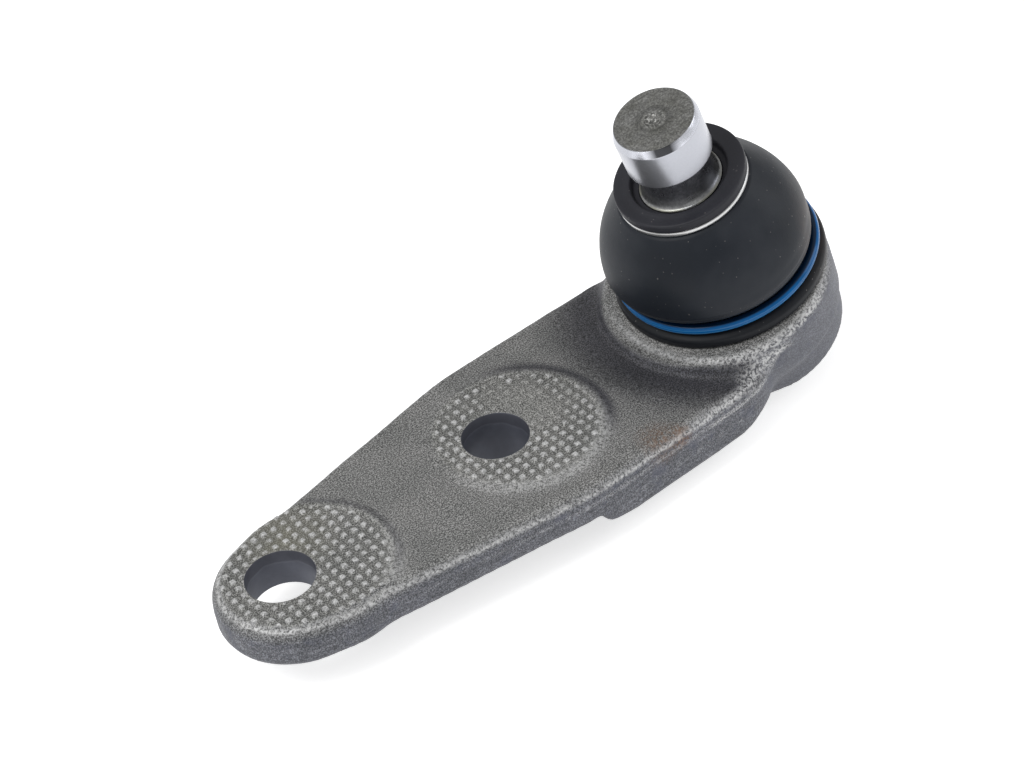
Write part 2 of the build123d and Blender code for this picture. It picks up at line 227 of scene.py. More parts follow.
class RingSettings(bpy.types.PropertyGroup):
    """Sizes and colours of the two rings that hold the boot."""

    base_radius: length("Base ring section", 1.1 * MM, "Radius of the blue ring's section")
    neck_width: length("Neck ring width", 1.3 * MM, "Width of the pale ring")
    neck_height: length("Neck ring height", 1.0 * MM, "Height of the pale ring")
    blue: colour("Blue", (0.0, 0.112, 0.345), "Deep blue of the base ring")
    pale: colour("Pale steel", (0.62, 0.62, 0.62), "Satin steel of the neck ring")


class StageSettings(bpy.types.PropertyGroup):
    """Floor, light and camera."""

    floor: colour("Floor", (0.86, 0.86, 0.86), "Pale floor")
    key_power: FloatProperty(
        name="Key light", description="Power of the large soft key light in watts",
        default=3.4, min=0.0,
    )
    rim_power: FloatProperty(
        name="Side light", description="Power of the soft side light in watts",
        default=1.2, min=0.0,
    )
    sky: FloatProperty(
        name="Sky", description="Strength of the even light from all round",
        default=0.55, min=0.0,
    )
    lens: FloatProperty(
        name="Lens", description="Focal length on a 36 mm wide sensor, in millimetres",
        default=78.17, min=1.0,
    )
    circle_steps: IntProperty(
        name="Circle steps", description="Segments round every turned piece",
        default=144, min=24,
    )


# Mesh helpers


def placed(name, data):
    """A new object in the scene that holds some data."""
    piece = bpy.data.objects.new(name, data)
    bpy.context.scene.collection.objects.link(piece)
    return piece


def mesh_object(name, points, faces):
    """A new mesh object in the scene, smooth shaded."""
    mesh = bpy.data.meshes.new(name)
    mesh.from_pydata([tuple(point) for point in points], [], faces)
    mesh.validate()
    mesh.polygons.foreach_set("use_smooth", [True] * len(mesh.polygons))
    return placed(name, mesh)


def tidy_mesh(piece, sharp_angle=35.0, merge=1e-7):
    """Merge doubles, face outwards and mark the edges that stay sharp."""
    shape = bmesh.new()
    shape.from_mesh(piece.data)
    bmesh.ops.remove_doubles(shape, verts=shape.verts, dist=merge)
    bmesh.ops.dissolve_degenerate(shape, edges=shape.edges, dist=merge)
    bmesh.ops.recalc_face_normals(shape, faces=shape.faces)
    limit = math.radians(sharp_angle)
    for edge in shape.edges:
        edge.smooth = len(edge.link_faces) == 2 and edge.calc_face_angle(0.0) < limit
    for face in shape.faces:
        face.smooth = True
    shape.to_mesh(piece.data)
    shape.free()
    piece.data.update()
    return piece


def applied(piece):
    """Turn a piece's modifiers into plain mesh."""
    depsgraph = bpy.context.evaluated_depsgraph_get()
    mesh = bpy.data.meshes.new_from_object(piece.evaluated_get(depsgraph))
    piece.modifiers.clear()
    piece.data = mesh
    return piece


def eased(corners, steps=4):
    """A profile whose corners are rounded. Each corner is (radius, height, easing)."""
    points = []
    count = len(corners)
    for index, (radius, height, easing) in enumerate(corners):
        here = Vector((radius, height))
        if easing <= 0:
            points.append(here)
            continue
        before = Vector(corners[index - 1][:2]) - here
        after = Vector(corners[(index + 1) % count][:2]) - here
        reach = min(easing, before.length * 0.49, after.length * 0.49)
        start = here + before.normalized() * reach
        end = here + after.normalized() * reach
        for step in range(steps + 1):
            share = step / steps
            points.append(
                start * (1 - share) ** 2 + here * (2 * share * (1 - share)) + end * share**2
            )
    return points


def axes_across(axis):
    """Two directions square to an axis, the first in the plate's long plane."""
    side = Vector((0, 1, 0)).cross(axis).normalized()
    return side, axis.cross(side).normalized()


def round_angles(steps):
    """Even angles round a full turn."""
    return np.linspace(0, 2 * math.pi, steps, endpoint=False)


def ring_faces(steps, count, closed=True):
    """Faces between copies of a profile that stand round an axis."""
    faces = []
    for turn in range(steps):
        here = turn * count
        there = ((turn + 1) % steps) * count
        for index in range(count if closed else count - 1):
            after = (index + 1) % count
            faces.append((here + index, there + index, there + after, here + after))
    return faces


def turned(name, profile, axis, steps, closed=True):
    """A solid turned about an axis through the ball, from (radius, height) points."""
    side, across = axes_across(axis)
    points = []
    for angle in round_angles(steps):
        outwards = side * math.cos(angle) + across * math.sin(angle)
        points.extend(BALL + outwards * radius + axis * height for radius, height in profile)
    return tidy_mesh(mesh_object(name, points, ring_faces(steps, len(profile), closed)))


def upright_cutter(name, x, profile, steps):
    """A turned cutter that stands at a bolt hole."""
    points = [
        (x + radius * math.cos(angle), radius * math.sin(angle), height)
        for angle in round_angles(steps) for radius, height in profile
    ]
    return tidy_mesh(mesh_object(name, points, ring_faces(steps, len(profile), closed=False)))


def vertex_array(mesh):
    """A mesh's points as an array, one row each."""
    flat = np.empty(len(mesh.vertices) * 3)
    mesh.vertices.foreach_get("co", flat)
    return flat.reshape(-1, 3)


def normal_array(mesh):
    """A mesh's vertex normals as an array, one row each."""
    flat = np.empty(len(mesh.vertices) * 3, np.float32)
    mesh.vertex_normals.foreach_get("vector", flat)
    return flat.reshape(-1, 3).astype(float)


def set_points(mesh, points):
    """Write an array of points back into a mesh."""
    mesh.vertices.foreach_set("co", points.ravel())
    mesh.update()


def smooth_step(low, high, value):
    """0 below low, 1 above high, and an even rise between."""
    share = np.clip((value - low) / (high - low), 0, 1)
    return share * share * (3 - 2 * share)


# Shader helpers


def set_input(tree, socket, value):
    """Link an input to a socket, or set its plain value."""
    if isinstance(value, bpy.types.NodeSocket):
        tree.links.new(value, socket)
    else:
        socket.default_value = value


def add_node(tree, kind, sockets=None, **settings):
    """Add a node, set its settings, and set or link its inputs."""
    node = tree.nodes.new(kind)
    for key, value in settings.items():
        setattr(node, key, value)
    for key, value in (sockets or {}).items():
        set_input(tree, node.inputs[key], value)
    return node


def new_group(name, inputs, outputs):
    """A shader node group with named sockets, and its two end nodes."""
    tree = bpy.data.node_groups.new(name, "ShaderNodeTree")
    for label, kind, default in inputs:
        socket = tree.interface.new_socket(name=label, in_out="INPUT", socket_type=kind)
        if default is not None:
            socket.default_value = default
    for label, kind in outputs:
        tree.interface.new_socket(name=label, in_out="OUTPUT", socket_type=kind)
    return tree, tree.nodes.new("NodeGroupInput"), tree.nodes.new("NodeGroupOutput")


def flat_colour(tone):
    """A grey or a colour as red, green, blue and alpha."""
    return (tone, tone, tone, 1) if isinstance(tone, (int, float)) else (*tone, 1)


def ramp(tree, value, stops):
    """A colour ramp from (place, grey or colour) stops."""
    node = add_node(tree, "ShaderNodeValToRGB", {"Fac": value})
    elements = node.color_ramp.elements
    while len(elements) < len(stops):
        elements.new(0.5)
    for element, (place, tone) in zip(elements, stops):
        element.position = place
        element.color = flat_colour(tone)
    return node.outputs["Color"]


def shades(tree, value, base, stops):
    """A colour ramp from (place, share) stops, each a share of one base colour."""
    return ramp(tree, value, [(place, tuple(Vector(base) * share)) for place, share in stops])


def blend_colour(tree, share, first, second, mode="MIX"):
    """Mix two colours, each given as a socket, a colour or a grey."""
    node = add_node(tree, "ShaderNodeMix", {0: share}, data_type="RGBA", blend_type=mode)
    for index, value in ((6, first), (7, second)):
        linked = isinstance(value, bpy.types.NodeSocket)
        set_input(tree, node.inputs[index], value if linked else flat_colour(value))
    return node.outputs[2]


def tinted(tree, tone, tint, share=1.0):
    """A tone multiplied by a tint, over a share of it."""
    return blend_colour(tree, share, tone, tint, "MULTIPLY")


def maths(tree, operation, first, second=0.0, clamp=False):
    """A maths node on sockets or numbers."""
    node = add_node(tree, "ShaderNodeMath", {0: first, 1: second}, operation=operation, use_clamp=clamp)
    return node.outputs[0]


def times(tree, first, second, clamp=False):
    """The product of two sockets or numbers."""
    return maths(tree, "MULTIPLY", first, second, clamp)


def surface_place(tree):
    """The place of a surface point, in metres in the part's own frame."""
    return add_node(tree, "ShaderNodeTexCoord").outputs["Object"]


def grain_group():
    """Fine speckle of a shot blasted or phosphated skin, with a slow cloud under it."""
    tree, start, end = new_group(
        "Skin grain",
        [("Speckle size", "NodeSocketFloat", 2600.0), ("Cloud size", "NodeSocketFloat", 140.0),
         ("Contrast", "NodeSocketFloat", 1.0)],
        [("Tone", "NodeSocketFloat"), ("Cloud", "NodeSocketFloat"), ("Height", "NodeSocketFloat")],
    )
    place = surface_place(tree)
    speckle = add_node(tree, "ShaderNodeTexNoise", {
        "Vector": place, "Scale": start.outputs["Speckle size"], "Detail": 5.0, "Roughness": 0.72,
    })
    cloud = add_node(tree, "ShaderNodeTexNoise", {
        "Vector": place, "Scale": start.outputs["Cloud size"], "Detail": 3.0, "Roughness": 0.55,
    })
    pits = add_node(tree, "ShaderNodeTexVoronoi", {
        "Vector": place, "Scale": times(tree, start.outputs["Speckle size"], 0.42),
    })
    centred = maths(tree, "SUBTRACT", speckle.outputs["Fac"], 0.5)
    strong = times(tree, centred, start.outputs["Contrast"])
    raised = times(tree, pits.outputs["Distance"], 0.5)
    set_input(tree, end.inputs["Tone"], maths(tree, "ADD", strong, 0.5, clamp=True))
    set_input(tree, end.inputs["Cloud"], cloud.outputs["Fac"])
    set_input(tree, end.inputs["Height"], maths(tree, "ADD", raised, speckle.outputs["Fac"]))
    return tree


def wear_group():
    """A mask of worn edges, broken up so that no edge is evenly bright."""
    tree, start, end = new_group(
        "Edge wear",
        [("Start", "NodeSocketFloat", 0.52), ("Breakup size", "NodeSocketFloat", 500.0)],
        [("Mask", "NodeSocketFloat")],
    )
    edge = add_node(tree, "ShaderNodeNewGeometry").outputs["Pointiness"]
    noise = add_node(tree, "ShaderNodeTexNoise", {
        "Vector": surface_place(tree), "Scale": start.outputs["Breakup size"], "Detail": 3.0,
    })
    lifted = maths(tree, "SUBTRACT", edge, start.outputs["Start"])
    strong = times(tree, lifted, 14.0, clamp=True)
    broken = times(tree, noise.outputs["Fac"], 1.6)
    set_input(tree, end.inputs["Mask"], times(tree, strong, broken, clamp=True))
    return tree


def speck_group():
    """A mask of sparse specks of dust."""
    tree, start, end = new_group(
        "Dust specks",
        [("Size", "NodeSocketFloat", 420.0), ("Amount", "NodeSocketFloat", 0.12)],
        [("Mask", "NodeSocketFloat")],
    )
    cells = add_node(tree, "ShaderNodeTexVoronoi", {
        "Vector": surface_place(tree), "Scale": start.outputs["Size"], "Randomness": 1.0,
    })
    chosen = maths(tree, "LESS_THAN", cells.outputs["Color"], start.outputs["Amount"])
    parts = add_node(tree, "ShaderNodeSeparateColor", {0: cells.outputs["Color"]})
    reach = maths(tree, "ADD", times(tree, parts.outputs[1], 0.5), 0.12)
    near = maths(tree, "LESS_THAN", cells.outputs["Distance"], reach)
    set_input(tree, end.inputs["Mask"], times(tree, chosen, near))
    return tree


def group_node(tree, group, **values):
    """Place a shared node group with its own values."""
    node = tree.nodes.new("ShaderNodeGroup")
    node.node_tree = bpy.data.node_groups[group]
    for label, value in values.items():
        node.inputs[label.replace("_", " ")].default_value = value
    return node


def new_material(name):
    """An empty material with a Principled shader, its tree and the shader."""
    material = bpy.data.materials.new(name)
    material.use_nodes = True
    tree = material.node_tree
    tree.nodes.clear()
    shader = tree.nodes.new("ShaderNodeBsdfPrincipled")
    end = tree.nodes.new("ShaderNodeOutputMaterial")
    tree.links.new(shader.outputs["BSDF"], end.inputs["Surface"])
    return material, tree, shader


def finish_shader(tree, shader, **inputs):
    """Link or set the shader's inputs, with underscores for the spaces in their names."""
    for label, value in inputs.items():
        set_input(tree, shader.inputs[label.replace("_", " ")], value)


def bump(tree, shader, height, distance, strength=1.0):
    """Feed a height into the shader's normal."""
    node = add_node(tree, "ShaderNodeBump", {
        "Strength": strength, "Distance": distance, "Height": height,
    })
    tree.links.new(node.outputs["Normal"], shader.inputs["Normal"])


def vector_maths(tree, operation, first, second=(0, 0, 0)):
    """A vector maths node on a socket and a vector."""
    return add_node(tree, "ShaderNodeVectorMath", {0: first, 1: tuple(second)}, operation=operation)


def near_point(tree, place, centre, radius):
    """1 at a point of the surface, falling to 0 at a radius from it."""
    gap = vector_maths(tree, "DISTANCE", place, centre).outputs["Value"]
    return maths(tree, "SUBTRACT", 1.0, maths(tree, "DIVIDE", gap, radius), clamp=True)


def height_from_ball(tree, axis):
    """Height above the ball's centre along an axis, for a shader."""
    offset = vector_maths(tree, "SUBTRACT", surface_place(tree), BALL).outputs[0]
    return vector_maths(tree, "DOT_PRODUCT", offset, axis).outputs["Value"]


def radius_from_pin(tree):
    """Distance from the pin's axis, for a shader."""
    offset = vector_maths(tree, "SUBTRACT", surface_place(tree), BALL).outputs[0]
    across = vector_maths(tree, "CROSS_PRODUCT", offset, PIN_AXIS).outputs[0]
    return vector_maths(tree, "LENGTH", across).outputs["Value"]


def mask(tree, name):
    """A vertex mask that the mesh code stored."""
    return add_node(tree, "ShaderNodeAttribute", attribute_name=name).outputs["Fac"]


# Rust and oil stains, a lighter brown patch on the boot, and the spot of the waist's painted glint and shadow:
# places in metres, with their reach, and a strength for the rust
RUST_SPOTS = (
    ((0.0505, -0.0247, -0.0018), 0.0030, 1.5),
    ((0.0462, -0.0232, -0.0010), 0.0055, 0.9),
)
OIL_SPOT, OIL_REACH = (-0.0190, 0.0075, 0.0), 0.011
BROWN_SPOT, BROWN_REACH = (0.1010, -0.0160, 0.0160), 0.016
WAIST_GLINT_SPOT = BALL + Vector((-7.15, -6.64, 29.0)) * MM


def forged_walls(tree, settings, skin, coarse):
    """Bluish side walls with painted shade that darkens them as they turn from the top, and streaks that run along
    the forging.
    """
    normal = add_node(tree, "ShaderNodeNewGeometry").outputs["Normal"]
    facing = add_node(tree, "ShaderNodeSeparateXYZ", {0: normal}).outputs["Z"]
    shade = Vector(settings.shade)
    relative = tuple(shade * (1 / settings.steel[0]))
    # Painted shade: the walls darken as their normal turns from upright.
    skin = tinted(tree, skin, ramp(tree, facing, [(0.15, relative), (0.86, 1.0)]))
    on_cup = mask(tree, "cup_wall")
    smooth = blend_colour(tree, 0.5, tuple(shade * 1.45), skin)
    skin = blend_colour(tree, on_cup, skin, smooth)
    # More painted shade on the sideways walls, towards the wall steel.
    side_on = ramp(tree, facing, [(0.1, 1.0), (0.6, 0.0)])
    skin = blend_colour(tree, times(tree, side_on, 0.22), skin, settings.shade)
    long_way = add_node(tree, "ShaderNodeMapping", {
        "Vector": surface_place(tree), "Scale": (0.16, 0.24, 1.0),
    })
    drawn = add_node(tree, "ShaderNodeTexNoise", {
        "Vector": long_way.outputs[0], "Scale": 1500.0, "Detail": 3.0,
    })
    streaks = ramp(tree, drawn.outputs["Fac"], [(0.36, 0.70), (0.52, 0.98), (0.66, (1.45, 1.42, 1.40))])
    share = maths(tree, "SUBTRACT", side_on, times(tree, on_cup, 0.75), clamp=True)
    skin = tinted(tree, skin, streaks, times(tree, share, 0.75))
    blued = ramp(tree, coarse.outputs["Cloud"], [(0.54, 0.0), (0.68, 0.5)])
    return blend_colour(tree, times(tree, blued, side_on), skin, (0.085, 0.092, 0.130))


def forged_wear_and_highlight(tree, grain, coarse):
    """Where the forging is painted bright: worn edges and the flash line, worn steel and painted highlight on the
    rolled edges and bump tips, and a painted highlight on the cup's foot.
    """
    wear = group_node(tree, "Edge wear", Start=0.513, Breakup_size=1400.0)
    worn = times(tree, wear.outputs["Mask"], 0.22)
    sparkle = ramp(tree, coarse.outputs["Tone"], [(0.20, 0.05), (0.8, 0.95)])
    edges = maths(tree, "MAXIMUM", mask(tree, "cup_foot"), mask(tree, "rolled_edge"))
    edges = times(tree, edges, sparkle)
    thin = times(tree, mask(tree, "flash_line"), times(tree, grain.outputs["Tone"], 1.15))
    tips = times(tree, mask(tree, "bump_tip"), maths(tree, "ADD", grain.outputs["Tone"], 0.38))
    wear_and_highlight = maths(tree, "MAXIMUM", maths(tree, "MAXIMUM", worn, edges), thin)
    return maths(tree, "MAXIMUM", wear_and_highlight, tips, clamp=True)


def forged_material(settings):
    """Shot blasted forging: speckled grey, worn edges, bump tips worn and with painted highlights, painted shade
    on the walls, before the cup and between the bumps, faint rust.
    """
    material, tree, shader = new_material("forged_steel")
    place = surface_place(tree)
    grain = group_node(tree, "Skin grain", Speckle_size=3500.0, Cloud_size=90.0, Contrast=7.0)
    coarse = group_node(tree, "Skin grain", Speckle_size=1700.0, Cloud_size=240.0, Contrast=5.0)
    skin = shades(tree, grain.outputs["Tone"], settings.steel, [(0.0, 0.34), (0.5, 0.90), (1.0, 2.3)])
    clouds = ramp(tree, grain.outputs["Cloud"], [(0.3, (0.84, 0.85, 0.84)), (0.7, (1.14, 1.13, 1.12))])
    skin = tinted(tree, skin, clouds)
    skin = tinted(tree, skin, (1.30, 1.30, 1.27), mask(tree, "pad"))
    # Painted shade between the bumps.
    skin = tinted(tree, skin, 0.70, mask(tree, "bump_gap"))
    # Frosted steel and a painted highlight on the pads' near rims.
    frost = times(tree, mask(tree, "frost"), coarse.outputs["Tone"])
    skin = blend_colour(tree, times(tree, frost, 0.55), skin, settings.worn)
    skin = forged_walls(tree, settings, skin, coarse)
    # Painted shade: the dip in front of the cup and the arcs beyond the pads' far edges.
    skin = tinted(tree, skin, (0.27, 0.27, 0.31), mask(tree, "valley"))
    for centre, reach, share in RUST_SPOTS:
        spot = times(tree, near_point(tree, place, centre, reach), coarse.outputs["Tone"])
        skin = blend_colour(tree, times(tree, spot, share, clamp=True), skin, settings.rust)
    oily = times(tree, near_point(tree, place, OIL_SPOT, OIL_REACH), coarse.outputs["Cloud"])
    skin = blend_colour(tree, times(tree, oily, 0.9), skin, settings.olive)
    wear_and_highlight = forged_wear_and_highlight(tree, grain, coarse)
    finish_shader(
        tree, shader, Base_Color=blend_colour(tree, wear_and_highlight, skin, settings.worn),
        Roughness=maths(tree, "ADD", times(tree, wear_and_highlight, -0.04), 0.55),
        Metallic=maths(tree, "ADD", times(tree, wear_and_highlight, 0.15), 0.3),
    )
    bump(tree, shader, grain.outputs["Height"], 0.09 * MM, 0.8)
    return material


def bore_material(settings):
    """Dark blued wall of a punched bolt hole, with a faint step below its rim."""
    material, tree, shader = new_material("punched_bore")
    grain = group_node(tree, "Skin grain", Speckle_size=900.0, Cloud_size=160.0, Contrast=0.8)
    tone = shades(tree, grain.outputs["Cloud"], settings.bore, [(0.3, 0.85), (0.7, 1.2)])
    high = add_node(tree, "ShaderNodeSeparateXYZ", {0: surface_place(tree)}).outputs["Z"]
    wavy = times(tree, maths(tree, "SUBTRACT", grain.outputs["Cloud"], 0.5), 2.5 * MM)
    depth = times(tree, maths(tree, "ADD", high, wavy), -250.0)
    band = ramp(tree, depth, [
        (0.0, (0.95, 0.93, 0.90)), (0.42, (0.82, 0.81, 0.80)), (0.50, (1.22, 1.2, 1.16)), (0.62, 1.0),
    ])
    finish_shader(tree, shader, Base_Color=tinted(tree, tone, band), Metallic=0.4, Roughness=0.5)
    bump(tree, shader, grain.outputs["Height"], 0.03 * MM)
    return material


def tool_rings(tree, scale, detail):
    """Fine noise along the pin's axis alone, like the marks of a turning tool."""
    line = add_node(tree, "ShaderNodeCombineXYZ", {"X": height_from_ball(tree, PIN_AXIS)})
    rings = add_node(tree, "ShaderNodeTexNoise", {
        "Vector": line.outputs[0], "Scale": scale, "Detail": detail,
    })
    return rings.outputs["Fac"]


def turned_material(name, base, low, high, roughness, metallic, ring_scale=0.0):
    """Turned steel about the pin's axis, with faint tool rings."""
    material, tree, shader = new_material(name)
    grain = group_node(tree, "Skin grain", Speckle_size=2200.0, Cloud_size=120.0, Contrast=1.6)
    tone = shades(tree, grain.outputs["Tone"], base, [(0.0, low), (0.5, 1.0), (1.0, high)])
    rough = ramp(tree, grain.outputs["Cloud"], [(0.3, roughness * 0.85), (0.7, roughness * 1.15)])
    finish_shader(tree, shader, Base_Color=tone, Roughness=rough, Metallic=metallic)
    height = grain.outputs["Height"]
    if ring_scale:
        height = maths(tree, "ADD", times(tree, height, 0.15), tool_rings(tree, ring_scale, 2.0))
    bump(tree, shader, height, 0.02 * MM)
    return material


def pin_reflection_stripe(tree, turn, half_width):
    """1 on a stripe down one side of the pin, at a turn about its axis, where a dark reflection is painted."""
    side, across = axes_across(PIN_AXIS)
    angle = math.radians(turn)
    square = across * math.cos(angle) - side * math.sin(angle)
    share = maths(tree, "DIVIDE", maths(tree, "ABSOLUTE", height_from_ball(tree, square)), half_width)
    return ramp(tree, maths(tree, "SUBTRACT", 1.0, share, clamp=True), [(0.0, 0.0), (0.6, 1.0)])


def ground_material(pin, name, level, roughness, reflection_stripes):
    """Satin ground steel with faint tool rings and painted dark reflections down its sides."""
    material, tree, shader = new_material(name)
    grain = group_node(tree, "Skin grain", Speckle_size=2200.0, Cloud_size=120.0, Contrast=1.6)
    base = Vector(pin.ground) * level
    tone = shades(tree, grain.outputs["Tone"], base, [(0.0, 0.93), (0.5, 1.0), (1.0, 1.06)])
    # Painted reflections: darker bands at given turns about the pin.
    for turn, half_width, dark in reflection_stripes:
        tone = tinted(tree, tone, dark, pin_reflection_stripe(tree, turn, half_width))
    rough = ramp(tree, grain.outputs["Cloud"], [(0.3, roughness * 0.9), (0.7, roughness * 1.1)])
    finish_shader(tree, shader, Base_Color=tone, Roughness=rough, Metallic=0.95)
    bump(tree, shader, tool_rings(tree, 2600.0, 1.0), 0.012 * MM)
    return material


def end_face_material(pin):
    """Dark olive end face with the rough crater of the turning centre."""
    material, tree, shader = new_material("end_face")
    grain = group_node(tree, "Skin grain", Speckle_size=2400.0, Cloud_size=420.0, Contrast=4.5)
    outwards = times(tree, radius_from_pin(tree), 125.0)
    tone = shades(tree, grain.outputs["Tone"], pin.phosphated, [(0.0, 0.62), (0.5, 1.0), (1.0, 1.6)])
    tone = tinted(tree, tone, ramp(tree, outwards, [
        (0.0, 1.3), (0.08, 0.75), (0.14, 1.2), (0.20, 0.60),
        (0.26, 1.1), (0.34, 0.62), (0.44, 0.82), (0.56, 1.0),
    ]))
    clouds = ramp(tree, grain.outputs["Cloud"], [(0.35, (0.82, 0.82, 0.78)), (0.65, 1.15)])
    tone = tinted(tree, tone, clouds)
    crater = ramp(tree, outwards, [(0.10, 1.0), (0.32, 0.0)])
    fleck = ramp(tree, grain.outputs["Tone"], [(0.62, 0.0), (0.98, 1.0)])
    tone = blend_colour(tree, times(tree, crater, fleck), tone, (0.62, 0.62, 0.60))
    rough = ramp(tree, grain.outputs["Cloud"], [(0.3, 0.42), (0.7, 0.55)])
    finish_shader(tree, shader, Base_Color=tone, Roughness=rough, Metallic=0.5)
    bump(tree, shader, grain.outputs["Height"], 0.05 * MM)
    return material


def waist_material(pin):
    """Dark glossy phosphated waist, painted darker under the head, with a painted shadow and glint on its right
    side and a pale olive line at the shank's rim, painted as wear and edge highlight.
    """
    material, tree, shader = new_material("phosphated_steel")
    grain = group_node(tree, "Skin grain", Speckle_size=1600.0, Cloud_size=300.0, Contrast=2.0)
    place = surface_place(tree)
    above = maths(tree, "SUBTRACT", height_from_ball(tree, PIN_AXIS), pin.shank_high)
    tone = shades(tree, grain.outputs["Tone"], (0.29, 0.295, 0.30), [(0.0, 0.6), (0.5, 1.0), (1.0, 1.6)])
    share = maths(tree, "DIVIDE", above, pin.waist_low - pin.shank_high)
    # Painted shade: darker up the waist, under the head.
    tone = tinted(tree, tone, ramp(tree, share, [(0.12, 1.1), (0.55, (0.76, 0.76, 0.83))]))
    # Painted shadow round a painted glint on the waist's right side.
    shadow = ramp(tree, near_point(tree, place, WAIST_GLINT_SPOT, 5.5 * MM), [(0.1, 0.0), (0.5, 0.45)])
    tone = blend_colour(tree, shadow, tone, (0.012, 0.012, 0.016))
    glint = ramp(tree, near_point(tree, place, WAIST_GLINT_SPOT, 3.2 * MM), [(0.1, 0.0), (0.9, 1.0)])
    tone = blend_colour(tree, glint, tone, (0.34, 0.35, 0.39))
    # A pale line at the shank's rim: wear and a painted edge highlight.
    line = maths(tree, "DIVIDE", maths(tree, "ABSOLUTE", above), 0.24 * MM)
    line = maths(tree, "SUBTRACT", 1.0, line, clamp=True)
    line = times(tree, line, ramp(tree, grain.outputs["Cloud"], [(0.4, 0.1), (0.6, 1.0)]))
    tone = blend_colour(tree, line, tone, (0.34, 0.34, 0.28))
    rough = ramp(tree, grain.outputs["Cloud"], [(0.3, 0.24), (0.7, 0.36)])
    finish_shader(tree, shader, Base_Color=tone, Roughness=rough, Metallic=0.85)
    bump(tree, shader, grain.outputs["Height"], 0.01 * MM)
    return material


def rubber_material(settings):
    """Near black moulded rubber with a soft sheen, a little dust, a lighter brown patch, and painted shade on the
    flange under the ring.
    """
    material, tree, shader = new_material("boot_rubber")
    grain = group_node(tree, "Skin grain", Speckle_size=1500.0, Cloud_size=60.0, Contrast=1.0)
    scuff = group_node(tree, "Skin grain", Speckle_size=700.0, Cloud_size=330.0, Contrast=3.0)
    specks = group_node(tree, "Dust specks", Size=1250.0, Amount=0.24)
    large = group_node(tree, "Dust specks", Size=620.0, Amount=0.10)
    tone = shades(tree, grain.outputs["Cloud"], settings.rubber, [(0.35, 0.85), (0.65, 1.25)])
    film = ramp(tree, grain.outputs["Cloud"], [(0.45, 0.0), (0.8, 0.10)])
    tone = blend_colour(tree, film, tone, settings.dust)
    brown = near_point(tree, surface_place(tree), BROWN_SPOT, BROWN_REACH)
    brown = times(tree, brown, ramp(tree, scuff.outputs["Cloud"], [(0.35, 0.18), (0.65, 0.95)]))
    tone = blend_colour(tree, brown, tone, (0.098, 0.070, 0.062))
    span = 40 * MM
    along_pin = maths(tree, "DIVIDE", height_from_ball(tree, PIN_AXIS), span)
    collar = ramp(tree, along_pin, [(bulb_top() / span, 0.0), ((bulb_top() + 0.6 * MM) / span, 0.34)])
    tone = blend_colour(tree, collar, tone, (0.050, 0.045, 0.052))
    # Painted shade: the flange under the blue ring and the bulb is darkened towards black.
    along_cup = maths(tree, "DIVIDE", height_from_ball(tree, CUP_AXIS), 20 * MM)
    foot = ramp(tree, along_cup, [(0.25, 0.75), (0.33, 0.0)])
    tone = blend_colour(tree, foot, tone, (0.003, 0.004, 0.006))
    dusted = maths(tree, "MAXIMUM", specks.outputs["Mask"], large.outputs["Mask"])
    dusted = times(tree, dusted, ramp(tree, scuff.outputs["Cloud"], [(0.4, 0.22), (0.65, 0.55)]))
    tone = blend_colour(tree, dusted, tone, settings.dust)
    rough = ramp(tree, grain.outputs["Cloud"], [(0.3, 0.42), (0.7, 0.56)])
    finish_shader(tree, shader, Base_Color=tone, Roughness=rough, Specular_IOR_Level=0.26)
    bump(tree, shader, grain.outputs["Height"], 0.02 * MM)
    return material


def ring_material(settings):
    """Smooth deep blue plastic with two painted pale highlights, and painted shade where the rubber overhangs it.
    """
    material, tree, shader = new_material("blue_ring")
    grain = group_node(tree, "Skin grain", Speckle_size=1200.0, Cloud_size=110.0, Contrast=0.7)
    specks = group_node(tree, "Dust specks", Size=520.0, Amount=0.05)
    tone = shades(tree, grain.outputs["Cloud"], settings.blue, [(0.3, 0.85), (0.7, 1.2)])
    share = maths(tree, "SUBTRACT", height_from_ball(tree, CUP_AXIS), RING_HEIGHT - settings.base_radius)
    share = maths(tree, "DIVIDE", share, 2 * settings.base_radius)
    # Two painted highlights along the ring.
    reflection_stripes = ramp(tree, share, [
        (0.28, 0.0), (0.38, 0.70), (0.47, 0.0), (0.60, 0.0), (0.66, 0.45), (0.72, 0.0),
    ])
    tone = blend_colour(tree, reflection_stripes, tone, (0.08, 0.27, 0.48))
    # Painted shade on the ring's top, under the rubber's overhang, and on its underside.
    overhang_shade = ramp(tree, share, [(0.10, 0.9), (0.22, 0.0), (0.85, 0.0), (0.94, 0.92)])
    tone = blend_colour(tree, overhang_shade, tone, (0.001, 0.006, 0.016))
    tone = blend_colour(tree, times(tree, specks.outputs["Mask"], 0.25), tone, (0.35, 0.38, 0.42))
    rough = ramp(tree, grain.outputs["Cloud"], [(0.3, 0.13), (0.7, 0.19)])
    finish_shader(tree, shader, Base_Color=tone, Roughness=rough, Specular_IOR_Level=0.22)
    bump(tree, shader, grain.outputs["Height"], 0.006 * MM)
    return material


def plastic_material():
    """Natural moulded plastic of the bearing shell."""
    material, tree, shader = new_material("bearing_plastic")
    grain = group_node(tree, "Skin grain", Speckle_size=1400.0, Cloud_size=90.0, Contrast=0.6)
    tone = ramp(tree, grain.outputs["Cloud"], [(0.3, (0.72, 0.70, 0.63)), (0.7, (0.83, 0.81, 0.75))])
    rough = ramp(tree, grain.outputs["Tone"], [(0.0, 0.38), (1.0, 0.5)])
    finish_shader(tree, shader, Base_Color=tone, Roughness=rough)
    bump(tree, shader, grain.outputs["Height"], 0.01 * MM)
    return material


def dress(piece, material):
    """Give a piece one material."""
    piece.data.materials.clear()
    piece.data.materials.append(material)
    return piece


# Forged arm


